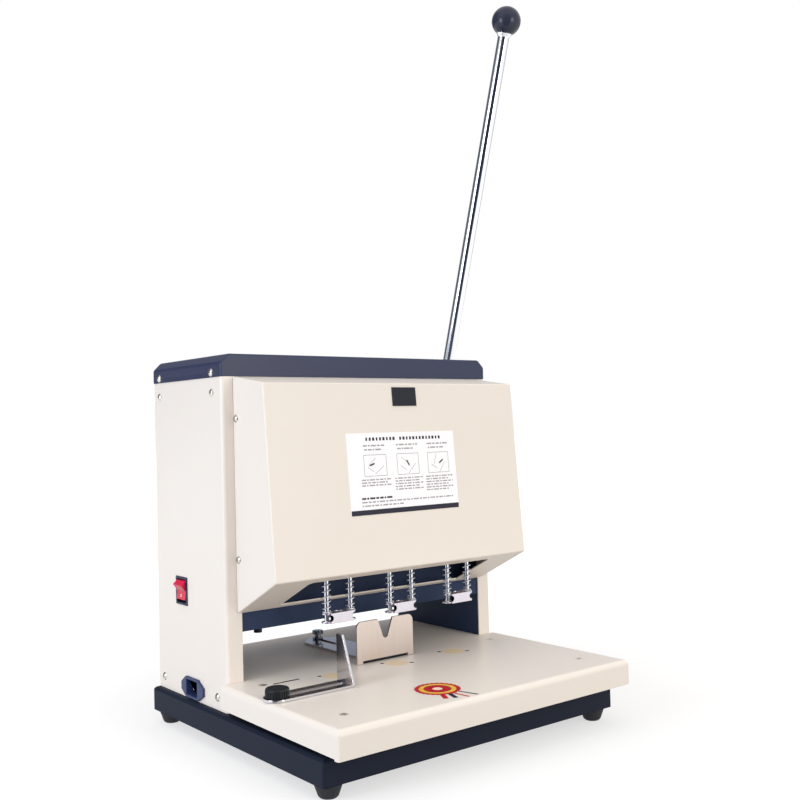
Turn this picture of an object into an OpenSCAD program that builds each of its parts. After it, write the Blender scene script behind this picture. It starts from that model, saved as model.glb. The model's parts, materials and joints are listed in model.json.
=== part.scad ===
// Three-hole paper drill for binding files: a hand lever lowers three motor-driven
// hollow drills onto a paper stack held by sprung pressers.
// X runs to the right, Y to the rear, Z up. X = 0 is the middle drill, Y = 0 the row of
// drills, and Z = 0 the desk. Sizes are in millimetres.

/* [Base and table] */
// Height of a rubber foot
foot_h = 14; // [12:1:22]
// Radius of a rubber foot at its top
foot_r = 13.5; // [10:0.5:15]
// How much smaller the radius of a rubber foot is at its bottom
foot_taper = 5; // [2:0.5:6]
// How far the base tray stands out past each side cover
base_margin = 7; // [5:0.5:12]
// Height of the base tray
base_h = 25; // [20:1:32]
// Distance from the drill row to the front of the base tray
base_front = 126; // [110:1:140]
// Sheet thickness of the base tray
base_t = 2; // [1.5:0.5:3]
// How far the table stands out past each side cover
table_margin = 8; // [7.5:0.5:15]
// How far the table reaches in front of the base tray
table_overhang = 25; // [10:1:40]
// Gap between the table's skirt and the base tray
table_gap = 3.7; // [2:0.1:8]
// Height of the table's skirt
table_skirt = 25.8; // [22:0.1:32]
// How much shorter the table's side skirts are at their rear end
skirt_rise = 3; // [1:0.5:5]
// Sheet thickness of the table
table_t = 3; // [2:0.5:4]
// Outside radius of the table's bends
table_bend = 6; // [4:0.5:8]

/* [Upright and hood] */
// Distance from the drill row to the front of the upright
throat_depth = 54; // [48:1:56]
// Depth of the upright
column_depth = 159; // [156:1:180]
// Width of the upright over its side covers
column_w = 358; // [340:1:380]
// Height of the side covers
column_h = 337; // [330:1:352]
// Width of the front and rear flanges of a side cover
flange_w = 18.5; // [12:0.5:20]
// Sheet thickness of the side covers, the hood and the top cover
skin_t = 1.5; // [1:0.25:2]
// Thickness of the inner side plates
plate_t = 3; // [2:0.5:4]
// How far each side of the hood stands in from the side cover
hood_inset = 13; // [10:0.5:14]
// Height of the hood's rear bottom edge above the table
hood_rear_lift = 68.6; // [62:0.1:74]
// How much higher the hood's front bottom edge is
hood_slant = 37.2; // [30:0.1:42]
// Distance from the drill row to the hood's front at its top
hood_top_front = 5; // [5:0.5:12]
// How far the hood's front leans out towards its bottom
hood_lean = 16.8; // [16:0.2:24]
// Width of the cut-out in the bottom of the hood
hood_cut_w = 240; // [238:1:260]
// How far the top cover stands out past each side cover
cover_margin = 0.5; // [0.5:0.5:6]
// Height of the top cover
cover_h = 23; // [20:0.5:32]
// Chamfer along the top cover's sides
cover_chamfer = 9; // [5:0.5:12]

/* [Drilling] */
// Distance between neighbouring holes
hole_pitch = 80; // [78:1:82]
// Radius of a drill
drill_r = 3; // [2:0.25:3.5]
// Radius of a cutting disc
disc_r = 12.5; // [11:0.5:14]
// Distance from the drill row back to the cutting discs' centres
disc_back = 9.3; // [5:0.1:10]
// Free height between the table and the pressers
throat_h = 56.7; // [50:0.5:60]
// Pitch radius of the toothed sectors
sector_r = 80; // [76:1:82]
// Radius of a guide column
guide_r = 8; // [6:0.5:9]
// Radius of the motor
motor_r = 30; // [24:1:32]

/* [Pressers] */
// Distance between the two rods of a presser
rod_gap = 29; // [28:0.5:31]
// Radius of a presser rod
rod_r = 2.4; // [2:0.1:2.6]
// Height of a presser bar
bar_h = 10.3; // [9:0.1:12]
// Length of a presser spring at rest
spring_len = 76; // [72:1:80]
// Radius of the spring's wire centre line
spring_r = 4.3; // [4:0.1:4.5]
// Diameter of the spring wire
wire_d = 1; // [0.8:0.1:1.2]

/* [Lever] */
// Length of the lever from its shaft to the ball's centre
lever_len = 549; // [450:1:580]
// Radius of the lever rod
lever_r = 7; // [6:0.5:8]
// Radius of the ball knob
ball_r = 17.5; // [15:0.5:20]
// Forward lean of the lever at rest, in degrees
lever_lean = 17; // [10:0.5:20]
// Swing of the lever, in degrees
lever_swing = 75; // [72:0.5:76]
// Distance from the side cover's face to the lever's centre line
lever_out = 16; // [15:0.5:22]

/* [Gauges] */
// Width of the back gauge
back_gauge_w = 76; // [70:1:84]
// Height of the back gauge's fence
fence_h = 45; // [40:0.5:46]
// Height of the side gauge's fence
side_fence_h = 48.5; // [42:0.5:50]
// Distance from the drill row to the back gauge
back_margin = 28; // [27.5:0.5:32]
// Width of the side gauge's arm
arm_w = 27; // [24:1:32]
// Distance from the middle drill to the side gauge's fence
side_margin = 92.5; // [87:0.5:95]
// Sheet thickness of the gauges
gauge_t = 2.5; // [1.5:0.25:3]

/* [Hidden] */
$fn = 64;
cream = "#E9E0D6";
navy = "#323B4E";
dark_navy = "#243046";
steel = "#C9C6C4";
chrome = "#D8DBE0";
black = "#1B1E25";
cast_grey = "#6E747C";
brass = "#B9A06A";
tan = "#DDBE93";
red = "#CF2B40";

// Clearances shared by the pieces that fit into one another
slip = 0.3;
running = 0.05;
sheet_gap = 0.5;
// Extra length of a cutting shape past the face that it cuts
past = 1;

// Heights
base_z1 = foot_h + base_h;
skirt_z = base_z1 + table_gap;
table_z = skirt_z + table_skirt;
column_z = base_z1 + column_h;
cover_z = column_z + cover_h;
hood_rear_z = table_z + hood_rear_lift;
hood_front_z = hood_rear_z + hood_slant;
hood_top_z = column_z - 9.2;
hood_back_top_z = column_z - slip;

// Places along Y
column_y0 = throat_depth;
column_y1 = column_y0 + column_depth;
base_y0 = -base_front;
base_y1 = column_y1;
table_y0 = base_y0 - table_overhang;
table_y1 = column_y1 - 1.5;
hood_top_y = -hood_top_front;
hood_bottom_y = hood_top_y - hood_lean;

// Places along X, right half
column_x = column_w / 2;
base_x = column_x + base_margin;
table_x = column_x + table_margin;
hood_x = column_x - hood_inset;
cover_x = column_x + cover_margin;
plate_x1 = hood_x - skin_t - slip;
plate_x0 = plate_x1 - plate_t;
between_x = plate_x0 - slip;

// Screws: panel screws are in two columns and two rows on each side
screw_r = 4.2;
shank_r = 2;
flat_head_h = 2.2;
screw_front_y = column_y0 + 21;
screw_rear_y = column_y1 - 16;
panel_low_z = base_z1 + 13;
panel_high_z = column_z - 16;
cover_screw_z = column_z + 4.7;
hood_screw_y = column_y0 - screw_r - 0.8;
hood_screw_low_z = hood_rear_z + 54;
hood_screw_high_z = column_z - 43;
// Ends of the side plates' ears, which carry the hood's screws
ear_margin = 14;
ear_z0 = hood_screw_low_z - ear_margin;
ear_z1 = hood_screw_high_z + ear_margin;
table_screw_x = plate_x1 - 11.2;
table_screw_ys = [base_y0 + 15, column_y0 - 26];
post_r = 6;
standoff_r = 5;

// Lever shaft and toothed drive
travel = sector_r * lever_swing * PI / 180;
shaft_r = 9;
rack_over = 5;
rack_headroom = 5;
shaft_back = 120.5;
shaft_z = cover_z - skin_t - rack_headroom - rack_over - travel;
shaft_y = column_y0 + shaft_back;
lever_x = column_x + lever_out;
tooth_module = sector_r / 20;
tooth_pitch = PI * tooth_module;
addendum = tooth_module;
dedendum = 1.25 * tooth_module;
backlash = 0.12;
pressure_angle = 20;
rack_x = plate_x0 - 49.2;
rack_w = 10;
rack_web = 9.5;
rack_back_y = shaft_y - sector_r;
rack_front_y = rack_back_y - dedendum - rack_web;
rack_z0 = shaft_z - 1.3 * tooth_pitch;
rack_z1 = shaft_z + travel + rack_over;
hub_r = 16;
hub_w = 24;
bush_r = 12;
bush_flange = 3;
ball_foot = lever_len - ball_r * 0.82;
ball_pin_r = lever_r - 2;
flare_r = lever_r + 2.6;

// Carriage and spindles
drill_z = table_z + travel + 0.2;
plate_z0 = drill_z + 64.6;
carriage_t = 12;
plate_z1 = plate_z0 + carriage_t;
boss_r = 8.5;
boss_h = 14;
carriage_x = hood_cut_w / 2 - 4;
carriage_y0 = -boss_r - 0.8;
hood_cut_y0 = carriage_y0 - 1.5;
hood_lip = 6.8;
hood_cut_y1 = column_y0 - slip - hood_lip;
hood_cut_r = 5;
bridge_z1 = column_z - 4;
bridge_t = 8;
back_y0 = column_y0 - 16;
back_y1 = column_y0 - 8;
back_z1 = bridge_z1 - bridge_t - 36;
wing_z0 = plate_z0 + 22;
wing_x = plate_x0 - 5;
pulley_r = 8;
belt_t = 1.5;
belt_w = 6;
belt_z0 = plate_z1 + 4;
belt_step = belt_w + 2;
motor_belt_z = belt_z0 + 2 * belt_step;
belt_in = pulley_r + slip;
belt_out = belt_in + belt_t;
motor_y = back_y1 + motor_r + 4;
shelf_z0 = belt_z0 + 3 * belt_step;
shelf_t = 6;
motor_cap_h = 6;
motor_headroom = 8;
motor_h = bridge_z1 - bridge_t - motor_headroom - motor_cap_h - shelf_z0 - shelf_t;
chuck_r = 7.5;
chuck_z0 = drill_z + 25;
chuck_z1 = plate_z0 - 16;
chuck_socket = 12;
spindle_r = 5;
cheek_z0 = wing_z0 + 8;
guide_x = plate_x0 - 25.2;
guide_y = column_y0 + 12;
guide_boss_r = guide_r + 5;
guide_web = 10;

// Beam and bridge that carry the guide columns
beam_z0 = table_z + 49.1;
beam_floor_t = 8;
// The lip ends just below the carriage's cheeks in their lowest place
beam_lip_z = cheek_z0 - travel - 0.8;
beam_y0 = column_y0 + skin_t + sheet_gap;
beam_lip_t = guide_y - guide_r - sheet_gap - beam_y0;
beam_y1 = guide_y + 12;
bolt_r = 2.5;
// How far a column bolt reaches into its column
bolt_reach = 10;

// Pressers
presser_z = table_z + throat_h;
bar_top = presser_z + bar_h;
seat_z = bar_top + spring_len;
seat_r = spring_r + wire_d / 2 + 0.7;
bar_sheet = 1.5;
bar_web_y = -8;
bar_end_r = 5.5;
rod_collar_r = rod_gap / 2 - belt_out - 2 * slip;
rod_top = plate_z1 + 4;
spring_turns = 13;
rings_per_turn = 8;
wire_sides = 6;

// Cutting discs and the two small screws beside each
disc_t = 8;
disc_turn = -35.4;
disc_screw_r = 2.2;
disc_screw_head = 1.4;
disc_shank_r = 1.2;
disc_screw_len = 7;
disc_screw_out = disc_r + disc_screw_r + 1;
disc_boss_r = disc_screw_out + disc_screw_r + 2;

// Gauges
side_fence_x = -side_margin;
arm_y1 = -16.5;
arm_y0 = arm_y1 - arm_w;
arm_mid_y = (arm_y0 + arm_y1) / 2;
knob_x = -table_x + 15;
knob_r = 11.5;
knob_h = 8.6;
gauge_screw_r = 3;
slot_r = gauge_screw_r + 0.4;
side_slot_end_x = side_fence_x - 8.5;
gauge_z = table_z + slip;
side_fence_top = 10;
back_tail_w = 43;
back_tail_y = column_y1 - 39;
back_tail_corner = 16;
back_shoulder = 18;
back_screw_y = column_y1 - 51;
back_slot_len = 38;

// Switch and power inlet on the left side cover
switch_y = column_y0 + 96.6;
switch_z = base_z1 + 112;
switch_w = 26;
switch_h = 30;
switch_proud = 1.2;
switch_pivot_x = -column_x + 1;
switch_body_w = 22;
switch_body_h = 26;
switch_wall = 0.6;
switch_pin_r = 1;
rocker_tilt = 15;
inlet_y = column_y0 + 74.2;
inlet_z = base_z1 + 12.4;
inlet_ear_front = 26;
inlet_ear_rear = 24;
inlet_half_w = 13.5;
inlet_half_h = 11;
inlet_proud = 2.5;
inlet_body_w = 28;
inlet_body_h = 20;
inlet_depth = 12;
inlet_wall = 2;

// Label and plate on the hood's sloping front: ends along X, heights up the slope
lean_angle = atan2(hood_lean, hood_top_z - hood_front_z);
label_xs = [-73, 71];
label_up = [57, 141];
label_t = 0.4;
hood_len = norm([hood_lean, hood_top_z - hood_front_z]);
nameplate_xs = [-9.7, 22.3];
nameplate_up = [hood_len - 24.2, hood_len - 4.2];
nameplate_t = 1;

sides = [-1, 1];
holes_x = [-hole_pitch, 0, hole_pitch];

// A block given by its two corners
module block(low, high) {
    translate(low)
        cube(high - low);
}

// A flat (Y, Z) outline extruded from x0 to x1
module along_x(x0, x1) {
    translate([x0, 0, 0])
        rotate([90, 0, 90])
            linear_extrude(x1 - x0)
                children();
}

// A flat (X, Z) outline extruded from y0 to y1
module along_y(y0, y1) {
    translate([0, y1, 0])
        rotate([90, 0, 0])
            linear_extrude(y1 - y0)
                children();
}

// A round bar along X
module bar_x(x0, x1, y, z, r) {
    translate([x0, y, z])
        rotate([0, 90, 0])
            cylinder(r = r, h = x1 - x0);
}

// A rectangle with round corners
module round_rect(low, high, r) {
    translate(low + [r, 0])
        square(high - low - [2 * r, 0]);
    translate(low + [0, r])
        square(high - low - [0, 2 * r]);
    for (x = [low[0] + r, high[0] - r], y = [low[1] + r, high[1] - r])
        translate([x, y])
            circle(r);
}

// A long slot between two points that differ in X or Y only
module slot_2d(a, b, r) {
    translate(a)
        circle(r);
    translate(b)
        circle(r);
    if (a[0] == b[0])
        translate([a[0] - r, a[1]])
            square([2 * r, b[1] - a[1]]);
    else
        translate([a[0], a[1] - r])
            square([b[0] - a[0], 2 * r]);
}

// A screw with a domed, cross-slotted head, its seat at Z = 0 and its shank below
module dome_screw(shank) {
    head_h = 2.2;
    cap_r = (screw_r * screw_r + head_h * head_h) / (2 * head_h);
    difference() {
        union() {
            rotate_extrude()
                intersection() {
                    translate([0, head_h - cap_r])
                        circle(cap_r);
                    square([screw_r + past, head_h]);
                }
            translate([0, 0, -shank])
                cylinder(r = shank_r, h = shank + head_h / 2);
        }
        for (turn = [0, 90])
            rotate(turn)
                translate([-screw_r * 0.6, -0.4, head_h / 2])
                    cube([screw_r * 1.2, 0.8, head_h]);
    }
}

// A countersunk screw, its flat cross-slotted head flush with Z = 0 and its shank below
module flat_screw(shank) {
    recess = 1.2;
    difference() {
        union() {
            translate([0, 0, -flat_head_h])
                cylinder(r1 = shank_r, r2 = screw_r, h = flat_head_h);
            translate([0, 0, -shank])
                cylinder(r = shank_r, h = shank - flat_head_h / 2);
        }
        for (turn = [0, 90])
            rotate(turn)
                translate([-screw_r * 0.6, -0.4, -recess])
                    cube([screw_r * 1.2, 0.8, recess + past]);
    }
}

// Places children at every panel screw of one side, pointing outwards along X
module at_panel_screws(side) {
    for (y = [screw_front_y, screw_rear_y], z = [panel_low_z, panel_high_z])
        translate([side * column_x, y, z])
            rotate([0, side * 90, 0])
                children();
}

module at_cover_screws(side) {
    for (y = [screw_front_y, screw_rear_y])
        translate([side * cover_x, y, cover_screw_z])
            rotate([0, side * 90, 0])
                children();
}

module at_hood_screws(side) {
    for (z = [hood_screw_low_z, hood_screw_high_z])
        translate([side * hood_x, hood_screw_y, z])
            rotate([0, side * 90, 0])
                children();
}

module at_table_screws() {
    for (x = [-table_screw_x, table_screw_x], y = table_screw_ys)
        translate([x, y, table_z])
            children();
}

// Places children at the two screws beside each cutting disc
module at_disc_screws() {
    for (x = holes_x, turn = [disc_turn, disc_turn + 180])
        translate([x, disc_back, table_z])
            rotate(turn)
                translate([disc_screw_out, 0, 0])
                    children();
}

// Base tray: a folded pan with a chamfered top edge, open under the table
module base_tray() {
    edge = 3;
    corner = 2.5;
    ledge = base_x - plate_x1 - slip;
    open_y0 = table_screw_ys[0] - post_r - 2;
    inset = [base_t, base_t];
    low = [-base_x, base_y0];
    high = [base_x, base_y1];
    color(navy)
        difference() {
            intersection() {
                translate([0, 0, foot_h])
                    linear_extrude(base_h)
                        round_rect(low, high, corner);
                along_y(base_y0 - past, base_y1 + past)
                    polygon([[-base_x, foot_h], [base_x, foot_h], [base_x, base_z1 - edge],
                             [base_x - edge, base_z1], [edge - base_x, base_z1], [-base_x, base_z1 - edge]]);
                along_x(-base_x - past, base_x + past)
                    polygon([[base_y0, foot_h], [base_y1, foot_h], [base_y1, base_z1 - edge],
                             [base_y1 - edge, base_z1], [base_y0 + edge, base_z1], [base_y0, base_z1 - edge]]);
            }
            translate([0, 0, foot_h + base_t])
                linear_extrude(base_h - 2 * base_t - edge / 2)
                    round_rect(low + inset, high - inset, max(corner - base_t, 0.5));
            block([ledge - base_x, open_y0, foot_h + base_t], [base_x - ledge, base_y1 - base_t, base_z1 + past]);
        }
}

module rubber_feet() {
    inset = foot_r + 1.5;
    color(black)
        for (x = [inset - base_x, base_x - inset], y = [base_y0 + inset, base_y1 - inset])
            translate([x, y, 0])
                cylinder(r1 = foot_r - foot_taper, r2 = foot_r, h = foot_h);
}

// Outer form of the table's wide front part, inset by a sheet thickness for its inside
module table_form(inset) {
    bend = table_bend - inset;
    corner = max(2.5 - inset, 0.5);
    low = [inset - table_x, table_y0 + inset];
    high = [table_x - inset, column_y0 - sheet_gap - inset];
    top = table_z - inset;
    deep = skirt_z - 2 * table_bend;
    intersection() {
        translate([0, 0, skirt_z])
            linear_extrude(table_skirt)
                union() {
                    round_rect(low, high, corner);
                    translate([low[0], 0])
                        square([high[0] - low[0], high[1]]);
                }
        along_y(table_y0 - past, column_y0 + past)
            round_rect([low[0], deep], [high[0], top], bend);
        along_x(-table_x - past, table_x + past)
            union() {
                round_rect([low[1], deep], [high[1], top], bend);
                translate([0, deep])
                    square([high[1], top - deep]);
            }
    }
}

// Table: a folded sheet, wide in front, narrow where it runs back between the side plates
module table_plate() {
    tail_x = column_x - flange_w - sheet_gap;
    cut_y0 = table_y0 + table_bend;
    spots = [[knob_x, arm_mid_y], [0, back_screw_y]];
    slot_y = column_y0 - 30.5;
    color(cream)
        difference() {
            union() {
                difference() {
                    table_form(0);
                    translate([0, 0, -past])
                        table_form(table_t);
                    table_form(table_t);
                }
                block([-tail_x, 0, table_z - table_t], [tail_x, table_y1, table_z]);
                block([-tail_x, table_y1 - table_t, skirt_z], [tail_x, table_y1, table_z]);
                for (x = holes_x)
                    translate([x, disc_back, table_z - disc_t - 4])
                        cylinder(r = disc_boss_r, h = disc_t + 4 - table_t / 2);
            }
            for (x = holes_x)
                translate([x, disc_back, table_z - disc_t])
                    cylinder(r = disc_r + 0.15, h = disc_t + past);
            at_table_screws() {
                translate([0, 0, -table_t - past])
                    cylinder(r = shank_r + running, h = table_t + 2 * past);
                translate([0, 0, -flat_head_h])
                    cylinder(r1 = shank_r + slip, r2 = screw_r + slip, h = flat_head_h);
                cylinder(r = screw_r + slip, h = past);
            }
            at_disc_screws() {
                translate([0, 0, -disc_screw_head])
                    cylinder(r = disc_screw_r + slip, h = disc_screw_head + past);
                translate([0, 0, -disc_screw_len - past])
                    cylinder(r = disc_shank_r + running, h = disc_screw_len + past);
            }
            along_x(-table_x - past, table_x + past)
                polygon([[cut_y0, skirt_z - past], [cut_y0, skirt_z + skirt_rise / 2],
                         [column_y0, skirt_z + skirt_rise], [column_y0, skirt_z - past]]);
            for (spot = spots)
                translate([spot[0], spot[1], table_z - table_t - past])
                    cylinder(r = gauge_screw_r + running, h = table_t + 2 * past);
            translate([side_fence_x + 3.2, arm_y0 - 1, table_z - table_t - past])
                cylinder(r = 2, h = table_t + 2 * past);
            translate([0, 0, table_z - table_t - past])
                linear_extrude(table_t + 2 * past)
                    slot_2d([-table_x + 44, slot_y], [-table_x + 72, slot_y], 1.6);
        }
}

module table_posts() {
    color(cast_grey)
        at_table_screws()
            translate([0, 0, foot_h + base_t - table_z])
                difference() {
                    cylinder(r = post_r, h = table_z - table_t - foot_h - base_t);
                    translate([0, 0, table_z - table_t - foot_h - base_t - 12])
                        cylinder(r = shank_r + running, h = 12 + past);
                }
}

module table_screws() {
    color(steel)
        at_table_screws()
            flat_screw(table_t + 8);
}

module cutting_discs() {
    color(tan)
        for (x = holes_x)
            translate([x, disc_back, table_z - disc_t])
                cylinder(r = disc_r, h = disc_t);
}

// Slotted screws beside the discs, flush with the table
module disc_screws() {
    slot_w = 0.6;
    color(black)
        at_disc_screws()
            difference() {
                union() {
                    translate([0, 0, -disc_screw_head])
                        cylinder(r = disc_screw_r, h = disc_screw_head);
                    translate([0, 0, -disc_screw_len])
                        cylinder(r = disc_shank_r, h = disc_screw_len - disc_screw_head / 2);
                }
                translate([-disc_screw_r - past, -slot_w / 2, -slot_w])
                    cube([2 * disc_screw_r + 2 * past, slot_w, slot_w + past]);
            }
}

// Inner side plate with an ear that carries the hood, drawn on the right
module side_plate(side) {
    ear_y = column_y0 - 12;
    y0 = column_y0 + skin_t + sheet_gap;
    y1 = column_y1 - skin_t - sheet_gap;
    x0 = side > 0 ? plate_x0 : -plate_x1;
    color(dark_navy)
        difference() {
            along_x(x0, x0 + plate_t)
                union() {
                    translate([y0, foot_h + base_t])
                        square([y1 - y0, cover_z - skin_t - 4 - foot_h - base_t]);
                    translate([ear_y, ear_z0])
                        square([y0 - ear_y + past, ear_z1 - ear_z0]);
                }
            bar_x(x0 - past, x0 + plate_t + past, shaft_y, shaft_z, bush_r);
            at_hood_screws(side)
                translate([0, 0, -20])
                    cylinder(r = shank_r + running, h = 20 + past);
        }
}

module side_plate_left() { side_plate(-1); }
module side_plate_right() { side_plate(1); }

// Side cover: a folded channel, screwed to standoffs; a notch in its front flange passes the plate's ear
module side_cover(side) {
    bend = 4;
    inner = column_x - flange_w;
    y0 = column_y0 + skin_t;
    y1 = column_y1 - skin_t;
    color(cream)
        difference() {
            translate([0, 0, base_z1 + slip])
                linear_extrude(column_h - 2 * slip)
                    mirror([side < 0 ? 1 : 0, 0])
                        difference() {
                            intersection() {
                                round_rect([inner - 2 * bend, column_y0], [column_x, column_y1], bend);
                                translate([inner, column_y0])
                                    square([flange_w, column_depth]);
                            }
                            round_rect([inner - 2 * bend, y0], [column_x - skin_t, y1], bend - skin_t);
                        }
            mirror([side < 0 ? 1 : 0, 0, 0])
                block([inner - past, column_y0 - past, ear_z0 - slip],
                      [plate_x1 + slip, y0 + past, ear_z1 + slip]);
            at_panel_screws(side)
                translate([0, 0, -2 * skin_t])
                    cylinder(r = shank_r + running, h = 3 * skin_t);
            children();
        }
}

module side_cover_left() {
    side_cover(-1) {
        translate([-column_x - past, switch_y - switch_body_w / 2 - slip, switch_z - switch_body_h / 2 - slip])
            cube([skin_t + 2 * past, switch_body_w + 2 * slip, switch_body_h + 2 * slip]);
        translate([-column_x - past, inlet_y - inlet_body_w / 2 - slip, inlet_z - inlet_body_h / 2 - slip])
            cube([skin_t + 2 * past, inlet_body_w + 2 * slip, inlet_body_h + 2 * slip]);
    }
}

module side_cover_right() {
    side_cover(1)
        bar_x(column_x - 2 * skin_t, column_x + past, shaft_y, shaft_z, shaft_r + 2);
}

module standoff(length) {
    translate([0, 0, -length])
        difference() {
            cylinder(r = standoff_r, h = length);
            translate([0, 0, length - 9])
                cylinder(r = shank_r + running, h = 9 + past);
        }
}

module cover_standoffs() {
    color(cast_grey)
        for (side = sides) {
            at_panel_screws(side)
                translate([0, 0, -skin_t])
                    standoff(column_x - skin_t - plate_x1);
            at_cover_screws(side)
                translate([0, 0, -skin_t])
                    standoff(cover_x - skin_t - plate_x1);
        }
}

module cover_screws() {
    color(cream)
        for (side = sides) {
            at_panel_screws(side)
                dome_screw(8);
            at_hood_screws(side)
                dome_screw(skin_t + plate_t);
        }
}

module top_cover_screws() {
    color(navy)
        for (side = sides)
            at_cover_screws(side)
                dome_screw(8);
}

module rear_panel() {
    y1 = column_y1 - skin_t - sheet_gap;
    color(cream)
        block([-between_x, y1 - skin_t, beam_z0], [between_x, y1, column_z - slip]);
}

// Half outline of the top cover's section, mirrored to both sides
module cover_section(inset) {
    x = cover_x - inset;
    z = cover_z - inset;
    cut = cover_chamfer - inset * (2 - sqrt(2));
    polygon([[-x, column_z], [x, column_z], [x, z - cut], [x - cut, z], [cut - x, z], [-x, z - cut]]);
}

module top_cover() {
    color(navy)
        difference() {
            along_y(column_y0, column_y1)
                cover_section(0);
            translate([0, 0, -past])
                along_y(column_y0 + skin_t, column_y1 - skin_t)
                    cover_section(skin_t);
            along_y(column_y0 + skin_t, column_y1 - skin_t)
                cover_section(skin_t);
            for (side = sides)
                at_cover_screws(side)
                    translate([0, 0, -2 * skin_t])
                        cylinder(r = shank_r + running, h = 3 * skin_t);
        }
}

// Side outline of the hood; the inset one runs out at the rear, where the hood is open
module hood_section(inset) {
    rear = column_y0 - slip + (inset > 0 ? past : 0);
    dy = column_y0 - slip - hood_bottom_y;
    top_dy = column_y0 - slip - hood_top_y;
    slope_drop = hood_slant / dy;
    top_rise = (hood_back_top_z - hood_top_z) / top_dy;
    lift = inset / cos(atan(slope_drop));
    shift = inset / cos(lean_angle);
    front_low = hood_bottom_y + shift;
    front_high = hood_top_y + shift;
    low_z = hood_front_z - slope_drop * shift + lift;
    high_z = hood_top_z + top_rise * shift - inset;
    polygon([[front_low, low_z],
             [front_high, high_z],
             [rear, high_z + top_rise * (rear - front_high)],
             [rear, low_z - slope_drop * (rear - front_low)]]);
}

module front_hood() {
    cut_x = hood_cut_w / 2;
    color(cream)
        difference() {
            along_x(-hood_x, hood_x)
                hood_section(0);
            along_x(skin_t - hood_x, hood_x - skin_t)
                hood_section(skin_t);
            translate([0, 0, hood_rear_z - 5])
                linear_extrude(hood_slant + 10)
                    union() {
                        round_rect([-cut_x, hood_cut_y0], [cut_x, hood_cut_y1], hood_cut_r);
                        translate([-cut_x, hood_cut_y0 + hood_cut_r])
                            square([hood_cut_w, hood_cut_y1 - hood_cut_y0 - hood_cut_r]);
                    }
            for (side = sides)
                at_hood_screws(side)
                    translate([0, 0, -2 * skin_t])
                        cylinder(r = shank_r + running, h = 3 * skin_t);
        }
}

// A thin plate on the hood's sloping front, between two heights above its bottom edge
module hood_plate(xs, up, thick) {
    translate([0, hood_bottom_y, hood_front_z])
        rotate([-lean_angle, 0, 0])
            block([xs[0], -thick, up[0]], [xs[1], 0, up[1]]);
}

module hood_label() {
    color("white")
        hood_plate(label_xs, label_up, label_t);
}

module hood_nameplate() {
    color(black)
        hood_plate(nameplate_xs, nameplate_up, nameplate_t);
}

module lower_beam() {
    color(dark_navy)
        difference() {
            along_x(-between_x, between_x)
                polygon([[beam_y0, beam_z0], [beam_y1, beam_z0], [beam_y1, beam_z0 + beam_floor_t],
                         [beam_y0 + beam_lip_t, beam_z0 + beam_floor_t], [beam_y0 + beam_lip_t, beam_lip_z],
                         [beam_y0, beam_lip_z]]);
            for (side = sides)
                translate([side * guide_x, guide_y, beam_z0 - past])
                    cylinder(r = bolt_r + running, h = beam_floor_t + 2 * past);
        }
}

module guide_columns() {
    color(chrome)
        for (side = sides)
            translate([side * guide_x, guide_y, beam_z0 + beam_floor_t])
                difference() {
                    cylinder(r = guide_r, h = bridge_z1 - beam_z0 - beam_floor_t);
                    translate([0, 0, -past])
                        cylinder(r = bolt_r + running, h = bolt_reach + 2 + past);
                }
}

// Socket-head bolts that hold the columns from below
module column_bolts() {
    head_r = 4.3;
    head_h = 5;
    socket_r = 2.2;
    socket_deep = 3;
    color(black)
        for (side = sides)
            translate([side * guide_x, guide_y, beam_z0 - head_h])
                difference() {
                    union() {
                        cylinder(r = head_r, h = head_h);
                        cylinder(r = bolt_r, h = head_h + beam_floor_t + bolt_reach);
                    }
                    translate([0, 0, -past])
                        cylinder(r = socket_r, h = socket_deep + past, $fn = 6);
                }
}

module top_bridge() {
    color(dark_navy)
        difference() {
            block([-between_x, beam_y0, bridge_z1 - bridge_t], [between_x, beam_y1, bridge_z1]);
            for (side = sides)
                translate([side * guide_x, guide_y, bridge_z1 - bridge_t - past])
                    cylinder(r = guide_r, h = bridge_t + 2 * past);
        }
}

// Flanged bushes of the lever shaft in the side plates
module shaft_bushes() {
    x0 = plate_x0 - bush_flange;
    x1 = plate_x1 + 1;
    color(brass)
        for (side = sides)
            mirror([side < 0 ? 1 : 0, 0, 0])
                difference() {
                    union() {
                        bar_x(x0, x1, shaft_y, shaft_z, bush_r);
                        bar_x(x0, plate_x0, shaft_y, shaft_z, bush_r + bush_flange);
                    }
                    bar_x(x0 - past, x1 + past, shaft_y, shaft_z, shaft_r + running);
                }
}

// Return spring round the lever shaft, closed up to a sleeve because it is hidden in the upright
module return_spring() {
    wall = 4.5;
    x0 = bush_flange + sheet_gap - plate_x0;
    x1 = x0 + 24.5;
    color(cast_grey)
        difference() {
            bar_x(x0, x1, shaft_y, shaft_z, shaft_r + sheet_gap + wall);
            bar_x(x0 - past, x1 + past, shaft_y, shaft_z, shaft_r + sheet_gap);
        }
}

module switch_bezel() {
    window_w = switch_body_w - 2 * switch_wall;
    window_h = switch_body_h - 2 * switch_wall;
    back_x = -plate_x1 - 2;
    color(black)
        difference() {
            union() {
                translate([-column_x - switch_proud, switch_y - switch_w / 2, switch_z - switch_h / 2])
                    cube([switch_proud, switch_w, switch_h]);
                translate([-column_x, switch_y - switch_body_w / 2, switch_z - switch_body_h / 2])
                    cube([column_x + back_x, switch_body_w, switch_body_h]);
            }
            translate([-column_x - switch_proud - past, switch_y - window_w / 2, switch_z - window_h / 2])
                cube([column_x + back_x + switch_proud + past - 2, window_w, window_h]);
            translate([switch_pivot_x, switch_y + switch_body_w / 2 + past, switch_z])
                rotate([90, 0, 0])
                    cylinder(r = switch_pin_r + running, h = switch_body_w + 2 * past);
        }
}

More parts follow.
